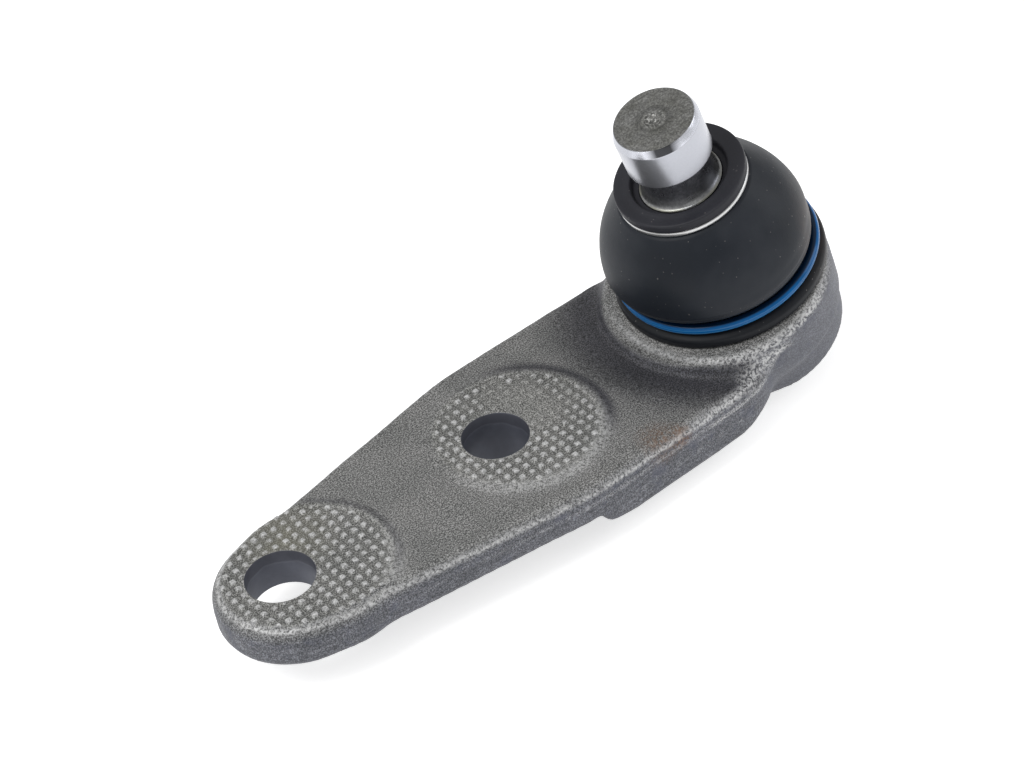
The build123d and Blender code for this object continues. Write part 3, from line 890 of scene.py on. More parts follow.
def joined_copy(source, extras, name):
    """One mesh object made from a CAD node's mesh and some extra solids."""
    shape = bmesh.new()
    shape.from_mesh(source.data)
    bmesh.ops.remove_doubles(shape, verts=shape.verts, dist=1e-6)
    for extra in extras:
        shape.from_mesh(extra.data)
    mesh = bpy.data.meshes.new(name)
    shape.to_mesh(mesh)
    shape.free()
    for extra in extras:
        bpy.data.objects.remove(extra)
    return placed(name, mesh)


def hole_plugs(steps):
    """Short cylinders that fill the bolt holes until they are cut again."""
    ease = 0.05 * MM
    radius = HOLE_RADIUS + 1.5 * MM
    high = PAD_TOP - ease
    plugs = []
    for x, bottom in HOLES:
        low = bottom + ease
        plugs.append(upright_cutter("plug", x, [(0, low), (radius, low), (radius, high), (0, high)], steps))
    return plugs


def hole_cutters(settings, steps):
    """Bolt holes with softly broken edges."""
    edge = settings.hole_break
    over = 2 * MM
    top = PAD_TOP + 0.1 * MM
    cutters = []
    for x, low in HOLES:
        profile = [
            (0, low - over), (HOLE_RADIUS + over, low - over),
            (HOLE_RADIUS + edge * 0.35, low + edge * 0.35), (HOLE_RADIUS, low + edge),
            (HOLE_RADIUS, top - edge), (HOLE_RADIUS + edge * 0.35, top - edge * 0.35),
            (HOLE_RADIUS + over, top + over), (0, top + over),
        ]
        cutters.append(upright_cutter("cutter", x, profile, steps))
    return cutters


def write_mask(mesh, name, values):
    """Store one number for each vertex, for a material to read."""
    layer = mesh.attributes.get(name) or mesh.attributes.new(name, "FLOAT", "POINT")
    layer.data.foreach_set("value", np.asarray(values, np.float32))


def around_cup(points):
    """Each point's distance from the cup's axis and its height along it."""
    offset = points - np.array(BALL)
    height = offset @ np.array(CUP_AXIS)
    across = offset - height[:, None] * np.array(CUP_AXIS)
    return np.linalg.norm(across, axis=1), height


def near_line(points, corners, width):
    """1 on a chain of straight lines, falling away at a width from it."""
    best = np.full(len(points), 1.0)
    chain = np.array(corners) * MM
    for start, end in zip(chain[:-1], chain[1:]):
        run = end - start
        share = np.clip((points - start) @ run / (run @ run), 0, 1)
        gap = np.linalg.norm(points - start - share[:, None] * run, axis=1)
        best = np.minimum(best, gap)
    return np.exp(-(best / width) ** 2)


# The near side's flash line and rolled edge, where they climb from the plate to the cup
FLASH_RISE_MM = (
    (58.0, -25.3, -3.7), (68.6, -25.2, -3.5), (72.5, -24.2, -3.4),
    (75.4, -22.8, -3.0), (76.6, -23.1, -1.0), (77.7, -23.6, 1.0),
)
ROLLED_RISE_MM = (
    (54.0, -24.9, -1.7), (62.0, -24.9, -1.5), (68.5, -24.0, -0.9), (73.0, -23.4, 0.0), (78.5, -23.6, 1.3),
)
# The edge of the cup's boss, the lower seam, and the corner between plate and cup
BOSS_EDGE_MM = 23.9
SEAM_HEIGHT_MM = -7.4
NOTCH_MM = (76.6, -22.4)
# The climbing flash line as distances along the plate and its heights there
FLASH_HEIGHTS_MM = ((60, 68.6, 72.5, 75.4, 76.6, 77.7, 80), (-3.7, -3.5, -3.4, -3.0, -1.0, 1.0, 1.4))


def flash_share(points, settings):
    """How near each point lies to the trimmed flash line, 1 on it."""
    along = points[:, 0] / MM
    share = (points[:, 2] + settings.flash_drop) / settings.flash_width
    level = np.exp(-share * share) * (1 - smooth_step(57, 60, along)) * smooth_step(-22, 50, along)
    level = level * (0.65 + 0.35 * np.sin(along * 0.9) * np.sin(along * 2.3 + 1.0))
    rise = near_line(points, FLASH_RISE_MM, settings.flash_width * 1.5)
    return np.maximum(level, rise)


def rolled_share(points):
    """How near each point lies to the rolled edge of the plate's top, painted bright as worn steel and a
    highlight.
    """
    along = points[:, 0] / MM
    height = points[:, 2] / MM - np.interp(along, [-40, -30, -15, 0, 56], [-0.35, -0.45, -0.9, -1.3, -1.8])
    level = np.where(height > 0, np.exp(-(height / 0.55) ** 2), np.exp(-(height / 0.30) ** 2))
    level = level * (1 - smooth_step(52, 56, along))
    return np.maximum(level, near_line(points, ROLLED_RISE_MM, 1.25 * MM))


def from_boss(points):
    """Distance from the boss's axis, and the direction from it as two arrays."""
    offset = points - np.array(BOSS_CENTRE)
    across = offset - (offset @ np.array(CUP_AXIS))[:, None] * np.array(CUP_AXIS)
    radius = np.linalg.norm(across, axis=1)
    safe = np.maximum(radius, 1e-6)
    return radius / MM, across[:, 0] / safe, across[:, 1] / safe


def parting_lines(points, settings, sideways):
    """The trimmed flash line and the broken seam below it, on the outward walls."""
    along = points[:, 0] / MM
    flash = flash_share(points, settings) * sideways
    seam = np.exp(-((points[:, 2] / MM - SEAM_HEIGHT_MM) / 0.4) ** 2) * sideways
    seam = seam * smooth_step(34, 40, along) * (1 - smooth_step(66, 72, along))
    return flash, seam * np.clip(0.1 + np.sin(along * 0.55 + 0.6) * np.sin(along * 1.7), 0, 1)


def drawn_in_ribs(points, along):
    """The points' heights, with the ribs made shallower where they start."""
    aside = np.abs(points[:, 1] - PLATE_MIDDLE_Y) > 12.5 * MM
    rib = (points[:, 2] < PLATE_BOTTOM - 0.2 * MM) & aside
    depth = (points[:, 2] - PLATE_BOTTOM) * (0.72 + 0.28 * smooth_step(30, 39, along))
    return np.where(rib, PLATE_BOTTOM + depth, points[:, 2])


def climb_share(points, along):
    """How near each point lies to the edge that climbs from the plate up to the cup."""
    above = points[:, 2] / MM - np.interp(along, *FLASH_HEIGHTS_MM)
    climb = near_line(points, ROLLED_RISE_MM[2:], 2.3 * MM) * smooth_step(-0.1, 0.25, above)
    return climb * smooth_step(66, 70, along) * (points[:, 1] < -16 * MM)


def inside_box(points, node):
    """The points, held just inside a CAD node's box."""
    low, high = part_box(node)
    slack = 0.01 * MM
    return np.clip(points, np.array(low) + slack, np.array(high) - slack)


def sculpt_forging(mesh, settings):
    """Shape the forged skin, and note for the material where it is worn, where painted highlights and painted
    shade go, and where it is smooth.
    """
    points = vertex_array(mesh)
    normals = normal_array(mesh)
    along = points[:, 0] / MM
    level = np.hypot(normals[:, 0], normals[:, 1])
    outer = np.abs(points[:, 1] - PLATE_MIDDLE_Y) > 9 * MM
    outer = (outer | (along < -30)) & (points[:, 2] < 3 * MM)
    flash, seam = parting_lines(points, settings, smooth_step(0.55, 0.8, level) * outer)
    lift = (flash + seam * 0.5) * settings.flash_height - smooth_step(0.3, 0.8, level) * settings.draw_in
    points = points + normals * lift[:, None]

    radius, east, north = from_boss(points)
    up = normals @ np.array(CUP_AXIS)
    _, height = around_cup(points)
    top = smooth_step(-1.2, 0.6, height / MM) * (1 - smooth_step(23.4, 24.6, radius)) * (radius > 15)
    points += np.outer(top * settings.boss_lift, np.array(CUP_AXIS))

    outside = radius - BOSS_EDGE_MM
    front = smooth_step(-0.5, 0.3, -east * 0.9 - north * 0.4) * (points[:, 2] > -3 * MM)
    dip = smooth_step(-0.6, 1.2, outside) * (1 - smooth_step(2.5, 11.0, outside))
    dip = dip * smooth_step(0.6, 0.95, normals[:, 2]) * front
    # Painted shade on the dip in front of the cup, where the plate slopes away from the light.
    valley = smooth_step(-1.1, -0.2, outside) * (1 - smooth_step(2.5, 16.0, outside))
    valley = valley * smooth_step(0.15, 0.5, normals[:, 2]) * front
    points[:, 2] -= dip * settings.valley_depth
    points[:, 2] = drawn_in_ribs(points, along)
    points = inside_box(points, "arm_forging")
    set_points(mesh, points)

    # The rolled edge and the edge that climbs to the cup: worn steel and a painted highlight.
    rolled = rolled_share(points) * smooth_step(0.15, 0.4, level) * smooth_step(0.1, 0.3, normals[:, 2])
    climb = climb_share(points, along)
    # Painted highlight: a bright band on the boss's rounded edge, strongest on the side that faces the light.
    rim_radius = 23.0 - 1.9 * smooth_step(0.55, 1.0, -east)
    rim = np.exp(-((radius - rim_radius) / 0.75) ** 2) * smooth_step(0.1, 0.4, up) * (height > -3 * MM)
    rim = rim * (1 - 0.55 * smooth_step(0.1, 0.6, east)) * smooth_step(-0.1, 0.6, -east * 0.6 - north * 0.8)
    wall = smooth_step(0.3, 0.7, 1 - np.abs(up)) * smooth_step(70, 76, along)
    write_mask(mesh, "flash_line", np.clip(flash * 0.9 + 0.35 * seam, 0, 1))
    write_mask(mesh, "rolled_edge", np.maximum(rolled * (outer | (along > 70)), climb))
    write_mask(mesh, "valley", valley)
    write_mask(mesh, "cup_foot", rim)
    write_mask(mesh, "cup_wall", wall * (1 - np.clip(climb * 1.6, 0, 1)))


def read_mask(mesh, name):
    """The numbers that were stored for each vertex."""
    values = np.empty(len(mesh.vertices), np.float32)
    mesh.attributes[name].data.foreach_get("value", values)
    return values


def smooth_notch(piece, iterations):
    """Smooth the corner where the plate's near side meets the cup."""
    points = vertex_array(piece.data)
    gap = np.hypot(points[:, 0] / MM - NOTCH_MM[0], points[:, 1] / MM - NOTCH_MM[1])
    weight = np.exp(-(gap / 5.0) ** 2) * (points[:, 2] < 0)
    group = piece.vertex_groups.new(name="notch")
    for index in np.nonzero(weight > 0.02)[0]:
        group.add([int(index)], float(weight[index]), "REPLACE")
    soft = piece.modifiers.new("Notch", "SMOOTH")
    soft.vertex_group = "notch"
    soft.factor = 0.8
    soft.iterations = iterations
    applied(piece)
    piece.vertex_groups.clear()


def fill_notch(piece):
    """Bring the corner out to a nearly straight line between plate and cup."""
    smooth_notch(piece, 90)
    mesh = piece.data
    points = vertex_array(mesh)
    along, height = points[:, 0] / MM, points[:, 2] / MM
    line = np.interp(along, [67, 70, 73, 76, 79], [-25.0, -24.9, -24.4, -23.4, -22.6])
    outward = smooth_step(0.1, 0.4, -normal_array(mesh)[:, 1])
    share = smooth_step(67, 70, along) * (1 - smooth_step(75, 80, along)) * outward
    share = share * smooth_step(1.5, 3.5, -height) * smooth_step(-12.5, -8.5, height)
    share = share * (points[:, 1] < -15 * MM)
    points[:, 1] += np.minimum(line * MM - points[:, 1], 0) * share * 0.85
    set_points(mesh, points)
    smooth_notch(piece, 24)


def cloud_texture(name, size, depth):
    """A procedural cloud for a displace modifier."""
    texture = bpy.data.textures.new(name, "CLOUDS")
    texture.noise_scale = size
    texture.noise_depth = depth
    return texture


def displaced(piece, texture, strength):
    """Add a displace modifier along the normals."""
    wave = piece.modifiers.new("Skin", "DISPLACE")
    wave.texture = texture
    wave.texture_coords = "LOCAL"
    wave.strength = strength
    wave.mid_level = 0.5


# How far each pad's grid of bumps is shifted, in bumps
PAD_PHASES = ((0.49, 0.40), (-0.30, 0.57))


def pad_places():
    """The middles of the two coined pads."""
    shift = bpy.context.scene.grip_settings.pad_shift
    return [Vector((x + shift, PLATE_MIDDLE_Y, 0)) for x in (-HOLE_HALF_SPACING, HOLE_HALF_SPACING)]


def refine_pads(piece, grip):
    """Divide the faces of the two pads once more for their bumps."""
    shape = bmesh.new()
    shape.from_mesh(piece.data)
    shape.faces.ensure_lookup_table()
    chosen = set()
    for face in shape.faces:
        middle = face.calc_center_median()
        if middle.z < -1.2 * MM or face.normal.z < 0.5:
            continue
        if any((middle - place).to_2d().length < grip.pad_radius for place in pad_places()):
            chosen.update(face.edges)
    bmesh.ops.subdivide_edges(shape, edges=list(chosen), cuts=1, use_grid_fill=True)
    shape.to_mesh(piece.data)
    shape.free()


def bump_strength(x, y, column, row, index):
    """How strong each bump is; the inner pad is worn in its upper middle."""
    noise = np.sin(column * 12.9898 + row * 78.233 + index * 3.7) * 43758.5453
    chance = noise - np.floor(noise)
    strength = 0.74 + 0.26 * chance
    if index == 0:
        return strength
    worn = np.exp(-(((x - 3 * MM) / (8 * MM)) ** 2 + ((y - 7 * MM) / (8 * MM)) ** 2))
    plain = np.exp(-(((x - 6 * MM) / (5 * MM)) ** 2 + ((y - 1 * MM) / (5.5 * MM)) ** 2))
    return strength * (1 - np.clip(worn * 0.75 - 0.35 * chance, 0, 0.6)) * (1 - 0.75 * plain)


def bump_pattern(x, y, grip, index):
    """The height of a pad's bumps from 0 to 1, and how strong each of them is."""
    shift_x, shift_y = PAD_PHASES[index]
    spot_x = (x * math.cos(grip.turn) + y * math.sin(grip.turn)) / grip.pitch + shift_x
    spot_y = (y * math.cos(grip.turn) - x * math.sin(grip.turn)) / grip.pitch + shift_y
    spot_x = spot_x + 0.05 * np.sin(y / MM * 0.9 + index)
    spot_y = spot_y + 0.05 * np.sin(x / MM * 1.1 + 2.0 * index)
    across = smooth_step(0.20, 0.72, 0.5 + 0.5 * np.cos(2 * math.pi * spot_x))
    onwards = smooth_step(0.20, 0.72, 0.5 + 0.5 * np.cos(2 * math.pi * spot_y))
    strength = bump_strength(x, y, np.round(spot_x), np.round(spot_y), index)
    return across * onwards * strength, strength


def grip_bumps(piece, grip):
    """Raise the coined bumps, and note for the material their tips, the pads, and the painted highlights and
    painted shade round the pads and between the bumps.
    """
    mesh = piece.data
    points = vertex_array(mesh)
    up = smooth_step(0.75, 0.93, normal_array(mesh)[:, 2])
    tips, lift, pads, frost, gap_shade, ring_shade = np.zeros((6, len(points)))
    edge = grip.pad_radius - grip.edge_margin
    for index, place in enumerate(pad_places()):
        x = points[:, 0] - place.x
        y = points[:, 1] - place.y
        reach = np.hypot(x, y)
        inside = 1 - smooth_step(edge - 0.8 * MM, edge, reach)
        hole = np.hypot(points[:, 0] - HOLES[index][0], points[:, 1]) - HOLE_RADIUS
        inside = inside * smooth_step(grip.hole_margin * 0.3, grip.hole_margin, hole)
        shape, strength = bump_pattern(x, y, grip, index)
        lift += inside * up * (shape - 0.3) * grip.relief
        # Bump tips: worn steel and a painted highlight.
        tips = np.maximum(tips, inside * up * smooth_step(0.48, 0.94, shape))
        # Painted shade in the hollows between the bumps.
        hollow = (1 - smooth_step(0.0, 0.5, shape)) * np.clip(strength * 1.4, 0, 1)
        gap_shade = np.maximum(gap_shade, inside * up * hollow)
        pads = np.maximum(pads, up * (1 - smooth_step(edge - 0.4 * MM, edge + 0.6 * MM, reach)))
        # A pale band on each pad's near rim: frosted steel and a painted highlight on the raised rim's near side.
        near = smooth_step(-0.2, 0.8, -y / np.maximum(reach, MM))
        band = np.exp(-((reach - grip.pad_radius + 0.4 * MM) / (1.6 * MM)) ** 2)
        frost = np.maximum(frost, band * near * up)
        # Painted shade in an arc beyond each pad's far edge, where its raised step faces away from the light.
        far = smooth_step(0.3, 0.9, (x + 0.2 * y) / np.maximum(reach, MM))
        ring_radius = grip.pad_radius + (0.1 + 0.7 * index) * MM
        ring = np.exp(-((reach - ring_radius) / ((0.8 + 0.6 * index) * MM)) ** 2)
        ring_shade = np.maximum(ring_shade, ring * far * (0.55 + 0.45 * index))
    points[:, 2] += lift
    set_points(mesh, points)
    write_mask(mesh, "bump_tip", tips)
    write_mask(mesh, "pad", pads)
    write_mask(mesh, "frost", frost)
    write_mask(mesh, "bump_gap", gap_shade)
    write_mask(mesh, "valley", np.maximum(read_mask(mesh, "valley"), ring_shade))


def cut(piece, cutters):
    """Subtract closed cutters from a piece, keeping the cutters' own material."""
    for cutter in cutters:
        hole = piece.modifiers.new("Cut", "BOOLEAN")
        hole.operation = "DIFFERENCE"
        hole.solver = "EXACT"
        hole.object = cutter
        hole.material_mode = "TRANSFER"
    applied(piece)
    for cutter in cutters:
        bpy.data.objects.remove(cutter)


class JOINT_OT_node_groups(bpy.types.Operator):
    """Build the shared shader node groups"""

    bl_idname = "joint.node_groups"
    bl_label = "Shared Node Groups"

    def execute(self, context):
        grain_group()
        wear_group()
        speck_group()
        return {"FINISHED"}


class JOINT_OT_forged_arm(bpy.types.Operator):
    """Build the forged arm's rough skin, grip pads and bolt holes"""

    bl_idname = "joint.forged_arm"
    bl_label = "Forged Arm"

    def execute(self, context):
        settings = context.scene.forging_settings
        grip = context.scene.grip_settings
        steps = context.scene.stage_settings.circle_steps
        piece = joined_copy(nodes["arm_forging"], hole_plugs(steps // 2), "forged_arm")
        skin = piece.modifiers.new("Grid", "REMESH")
        skin.mode = "VOXEL"
        skin.voxel_size = settings.grid
        soft = piece.modifiers.new("Soft", "SMOOTH")
        soft.factor = 0.5
        soft.iterations = 5
        displaced(piece, cloud_texture("slow", 11 * MM, 1), settings.unevenness)
        displaced(piece, cloud_texture("quick", 1.4 * MM, 1), settings.pitting)
        applied(piece)
        fill_notch(piece)
        sculpt_forging(piece.data, settings)
        refine_pads(piece, grip)
        grip_bumps(piece, grip)
        dress(piece, forged_material(settings))
        bore = bore_material(settings)
        cutters = [dress(cutter, bore) for cutter in hole_cutters(settings, steps)]
        cut(piece, cutters)
        tidy_mesh(piece, sharp_angle=48.0, merge=1e-6)
        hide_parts("arm_forging")
        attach(piece, "arm")
        return {"FINISHED"}


class JOINT_OT_bearing(bpy.types.Operator):
    """Finish the bearing shell and the plate that closes the cup"""

    bl_idname = "joint.bearing"
    bl_label = "Bearing and Cover"

    def execute(self, context):
        dress(nodes["bearing_shell"], plastic_material())
        cover = turned_material("cover_steel", (0.17, 0.17, 0.18), 0.7, 1.4, 0.45, 0.7)
        dress(nodes["closing_plate"], cover)
        return {"FINISHED"}


def pin_profile(pin):
    """The ball, shank, waist and head from the ball's pole up, with (radius, height, easing)."""
    soft = 0.25 * MM
    start = math.atan2(pin.stem_radius, math.sqrt(pin.ball_radius**2 - pin.stem_radius**2))
    ball = [
        (pin.ball_radius * math.sin(angle), pin.ball_radius * math.cos(angle), 0)
        for angle in np.linspace(math.pi, start, 40)
    ]
    ball[0] = (0, -pin.ball_radius, 0)
    neck = []
    for share in np.linspace(0, 1, 12):
        turn = share * math.pi / 2
        radius = pin.shank_radius - (pin.shank_radius - pin.waist_radius) * math.sin(turn)
        height = pin.shank_high + (pin.waist_low - pin.shank_high) * (1 - math.cos(turn))
        neck.append((radius, height, 0))
    return ball + [(pin.shank_radius, pin.shank_low, soft)] + neck + [
        (pin.waist_radius, pin.head_low - 0.2 * MM, 0.5 * MM),
        (PIN_RADIUS - 0.9 * MM, pin.head_low, soft),
        (PIN_RADIUS, pin.head_low + 0.45 * MM, soft),
        (PIN_RADIUS, pin.head_high - pin.head_chamfer, 0.12 * MM),
        (FACE_RADIUS, pin.head_high, 0.10 * MM),
    ]


def face_profile(pin):
    """The end face from its rim inwards: turning grooves, a ring and the centre's dimple."""
    face = []
    for share in np.linspace(0.93, 0.0, 26):
        radius = share * FACE_RADIUS
        groove = 0.05 * MM * math.sin(share * 40) * (0.4 + 0.6 * math.sin(share * 9))
        ring = 0.12 * MM if 0.42 < share < 0.5 else 0.0
        dimple = -1.0 * MM * max(0.0, 1 - radius / pin.mark_radius)
        face.append((radius, pin.head_high - 0.06 * MM + groove - ring + dimple, 0))
    return face


def dress_pin(piece, pin):
    """Give the pin its ground head, phosphated waist, end face and a chamfer painted brighter as a highlight, with
    painted reflections on head and chamfer.
    """
    materials = [
        # The head's ground steel with one painted dark reflection.
        ground_material(pin, "ground_steel", 1.0, 0.30, [(197.0, 2.4 * MM, 0.86)]),
        waist_material(pin),
        end_face_material(pin),
        # The chamfer is the ground steel painted 1.6 times brighter as a highlight, with painted dark reflections.
        ground_material(pin, "chamfer", 1.6, 0.24, [(236.0, 3.6 * MM, 0.07), (168.0, 6.0 * MM, 0.62)]),
    ]
    for material in materials:
        piece.data.materials.append(material)
    waist_end = pin.head_low + 0.3 * MM
    face_start = pin.head_high - 1.4 * MM
    chamfer_start = pin.head_high - pin.head_chamfer + 0.1 * MM
    for face in piece.data.polygons:
        offset = face.center - BALL
        height = offset.dot(PIN_AXIS)
        radius = (offset - PIN_AXIS * height).length
        if height < waist_end:
            face.material_index = 1
        elif height > face_start and radius < PIN_RADIUS - 0.7 * MM:
            face.material_index = 2
        elif height > chamfer_start:
            face.material_index = 3


class JOINT_OT_ball_pin(bpy.types.Operator):
    """Turn the ball pin with its head, waist, shank and ball"""

    bl_idname = "joint.ball_pin"
    bl_label = "Ball Pin"

    def execute(self, context):
        pin = context.scene.pin_settings
        steps = context.scene.stage_settings.circle_steps
        profile = eased(pin_profile(pin) + face_profile(pin))
        piece = turned("turned_pin", profile, PIN_AXIS, steps, closed=False)
        dress_pin(piece, pin)
        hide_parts("ball_pin")
        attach(piece, "pin")
        return {"FINISHED"}


def boot_place(height):
    """Origin and axis of the boot's section at a height, from the cup to the pin."""
    boot = bpy.context.scene.boot_settings
    top = bulb_top()
    share = min(max((height - boot.base_high) / (top - boot.base_high), 0.0), 1.0)
    axis = (CUP_AXIS * (1 - share) + PIN_AXIS * share).normalized()
    if height <= boot.base_high:
        return BALL + CUP_AXIS * height, CUP_AXIS
    if height >= top:
        return BALL + PIN_AXIS * height, PIN_AXIS
    low = BALL + CUP_AXIS * boot.base_high
    high = BALL + PIN_AXIS * top
    side, _ = axes_across(CUP_AXIS)
    return low + (high - low) * share - side * boot.sway * math.sin(math.pi * share), axis


# How far the bulb stands outside a cone from its foot to its top, at even heights
BULGE_MM = (0.0, 2.75, 3.45, 3.6, 3.45, 2.8, 1.55, 0.0)


def bulb_top():
    """Height of the bulb's end under the pale ring."""
    return NECK_RING_HEIGHT - 0.65 * MM


def smooth_through(values, places):
    """A smooth curve through evenly spaced values, read at places from 0 to 1."""
    padded = np.concatenate([[2 * values[0] - values[1]], values, [2 * values[-1] - values[-2]]])
    spot = np.asarray(places) * (len(values) - 1)
    index = np.minimum(spot.astype(int), len(values) - 2)
    share = spot - index
    before, here, there, after = (padded[index + step] for step in range(4))
    return here + 0.5 * share * (
        there - before
        + share * (2 * before - 5 * here + 4 * there - after + share * (3 * (here - there) + after - before))
    )


def smooth_bulb(count):
    """Radii and heights up the bulb, with the fold line above the blue ring."""
    boot = bpy.context.scene.boot_settings
    shares = np.linspace(0, 1, len(BULGE_MM))
    radii = boot.foot_radius * (1 - shares) + NECK_RING_RADIUS * shares + np.array(BULGE_MM) * MM
    fine = np.linspace(0, 1, count)
    heights = boot.base_high + (bulb_top() - boot.base_high) * fine
    crease = np.exp(-(((heights - boot.base_high) / MM - 3.1) / 0.3) ** 2) * boot.crease_depth
    return list(zip(smooth_through(radii, fine) - crease, heights))


def boot_profile():
    """The closed profile of the boot's rubber, outside first and then inside."""
    boot = bpy.context.scene.boot_settings
    bulb = smooth_bulb(70)
    groove = RING_OUTER_RADIUS - 2 * bpy.context.scene.ring_settings.base_radius - 0.1 * MM
    top = bulb[-1][1]
    soft = 0.7 * MM
    outside = [
        (boot.neck_radius, boot.flange_low, 0),
        (FLANGE_RADIUS, boot.flange_low, soft),
        (FLANGE_RADIUS - 0.05 * MM, boot.flange_high - 0.7 * MM, soft),
        (FLANGE_RADIUS - 1.9 * MM, boot.flange_high + 0.05 * MM, soft),
        (groove, boot.flange_high + 0.1 * MM, 0.5 * MM),
        (groove, boot.base_high - 0.05 * MM, 0.4 * MM),
        (bulb[0][0] - 0.3 * MM, boot.base_high, 0.5 * MM),
    ]
    outside += [(radius, height, 0) for radius, height in bulb[2:-1]]
    outside += [
        (boot.throat_radius, top + 0.05 * MM, 0.3 * MM),
        (boot.throat_radius, boot.collar_low, 0.25 * MM),
        (NECK_RING_RADIUS + 0.05 * MM, boot.collar_low, 0.35 * MM),
        (NECK_RING_RADIUS + 0.05 * MM, boot.collar_high, 0.55 * MM),
        (boot.mouth_radius + 1.5 * MM, boot.collar_high - 0.25 * MM, 0.6 * MM),
        (boot.mouth_radius, boot.collar_high - 0.05 * MM, 0.35 * MM),
        (boot.mouth_radius - 0.35 * MM, boot.collar_high - boot.lip_drop, 0.3 * MM),
        (boot.lip_radius, boot.collar_high - boot.lip_drop - 0.2 * MM, 0.2 * MM),
        (boot.lip_radius, top - 0.5 * MM, 0.3 * MM),
        (boot.lip_radius + 1.4 * MM, top - boot.wall, 0.3 * MM),
    ]
    inside = [(radius - boot.wall, height, 0) for radius, height in reversed(bulb[8:-8:3])]
    inside.append((boot.neck_radius, boot.base_high + 1.6 * MM, 0.3 * MM))
    return eased(outside + inside)


def dent_at(height):
    """How far the bulb's low far side is drawn in at a height."""
    boot = bpy.context.scene.boot_settings
    if height <= boot.base_high + 0.3 * MM:
        return 0.0
    share = (height - boot.base_high) / (bulb_top() - boot.base_high)
    return boot.dent * math.exp(-((share - 0.16) / 0.17) ** 2)


def turned_boot(steps):
    """The whole boot as rings of points that turn from the cup's axis to the pin's."""
    boot = bpy.context.scene.boot_settings
    profile = boot_profile()
    places = [boot_place(height) for _, height in profile]
    frames = [axes_across(axis) for _, axis in places]
    dents = [dent_at(height) for _, height in profile]
    points = []
    for angle in round_angles(steps):
        aside = max(0.0, math.cos(angle + boot.dent_turn)) ** 1.5
        for (radius, _), (origin, _), (side, across), dent in zip(profile, places, frames, dents):
            reach = radius - dent * aside
            points.append(origin + (side * math.cos(angle) + across * math.sin(angle)) * reach)
    faces = ring_faces(steps, len(profile))
    return tidy_mesh(mesh_object("boot", points, faces), sharp_angle=50.0)


def half_of(piece, name, plane_point, plane_axis, keep_above):
    """A copy of a piece cut at a plane, with one side kept open at the cut."""
    half = placed(name, piece.data.copy())
    shape = bmesh.new()
    shape.from_mesh(half.data)
    bmesh.ops.bisect_plane(
        shape, geom=[*shape.verts, *shape.edges, *shape.faces], plane_co=plane_point, plane_no=plane_axis,
        clear_inner=keep_above, clear_outer=not keep_above, dist=1e-7,
    )
    shape.to_mesh(half.data)
    shape.free()
    return half


class JOINT_OT_dust_boot(bpy.types.Operator):
    """Build the rubber boot in two halves, cut across the bulb at its bend share"""

    bl_idname = "joint.dust_boot"
    bl_label = "Rubber Boot"

    def execute(self, context):
        boot = context.scene.boot_settings
        steps = context.scene.stage_settings.circle_steps
        whole = turned_boot(steps)
        dress(whole, rubber_material(boot))
        top = bulb_top()
        bend = boot.base_high + (top - boot.base_high) * boot.bend_share
        middle, axis = boot_place(bend)
        lower = half_of(whole, "boot_bulb_lower", middle, axis, keep_above=False)
        upper = half_of(whole, "boot_bulb_upper", middle, axis, keep_above=True)
        bpy.data.objects.remove(whole)
        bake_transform(lower)
        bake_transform(upper)
        for piece in (lower, upper):
            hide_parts("dust_boot")
        return {"FINISHED"}


class JOINT_OT_rings(bpy.types.Operator):
    """Build the blue ring at the boot's foot and the pale ring at its neck"""

    bl_idname = "joint.rings"
    bl_label = "Boot Rings"

    def execute(self, context):
        rings = context.scene.ring_settings
        steps = context.scene.stage_settings.circle_steps
        section = rings.base_radius
        middle = RING_OUTER_RADIUS - section
        circle = [
            (middle + section * math.cos(angle), RING_HEIGHT + section * math.sin(angle))
            for angle in round_angles(20)
        ]
        base = turned("blue_base_ring", circle, CUP_AXIS, steps)
        dress(base, ring_material(rings))
        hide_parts("base_ring")
        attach(base, "arm")
        inner = NECK_RING_RADIUS - rings.neck_width
        low = NECK_RING_HEIGHT - rings.neck_height / 2
        high = NECK_RING_HEIGHT + rings.neck_height / 2
        ease = 0.35 * MM
        profile = eased([
            (inner, low, ease), (NECK_RING_RADIUS, low, ease),
            (NECK_RING_RADIUS, high, ease), (inner, high, ease),
        ])
        neck = turned("pale_neck_ring", profile, PIN_AXIS, steps)
        dress(neck, turned_material("neck_ring_steel", rings.pale, 0.92, 1.08, 0.3, 0.9, 1800.0))
        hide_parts("neck_ring")
        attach(neck, "pin_cradle")
        return {"FINISHED"}


# Stage


# The camera that was fitted to the photo, with its roll in degrees, and half the floor's width
CAMERA_PLACE = Vector((-155.885, -264.196, 273.976)) * MM
CAMERA_TARGET = Vector((37.75, 9.43, 0.0)) * MM
CAMERA_ROLL = -8.58
FLOOR_REACH = 6.0
FLOOR_GLOW = 0.62


def area_light(name, place, target, size, power, tint):
    """A large soft lamp that faces a point."""
    lamp = bpy.data.lights.new(name, "AREA")
    lamp.shape = "RECTANGLE"
    lamp.size, lamp.size_y = size
    lamp.energy = power
    lamp.color = tint
    holder = placed(name, lamp)
    holder.location = place
    holder.rotation_euler = (Vector(target) - Vector(place)).to_track_quat("-Z", "Y").to_euler()


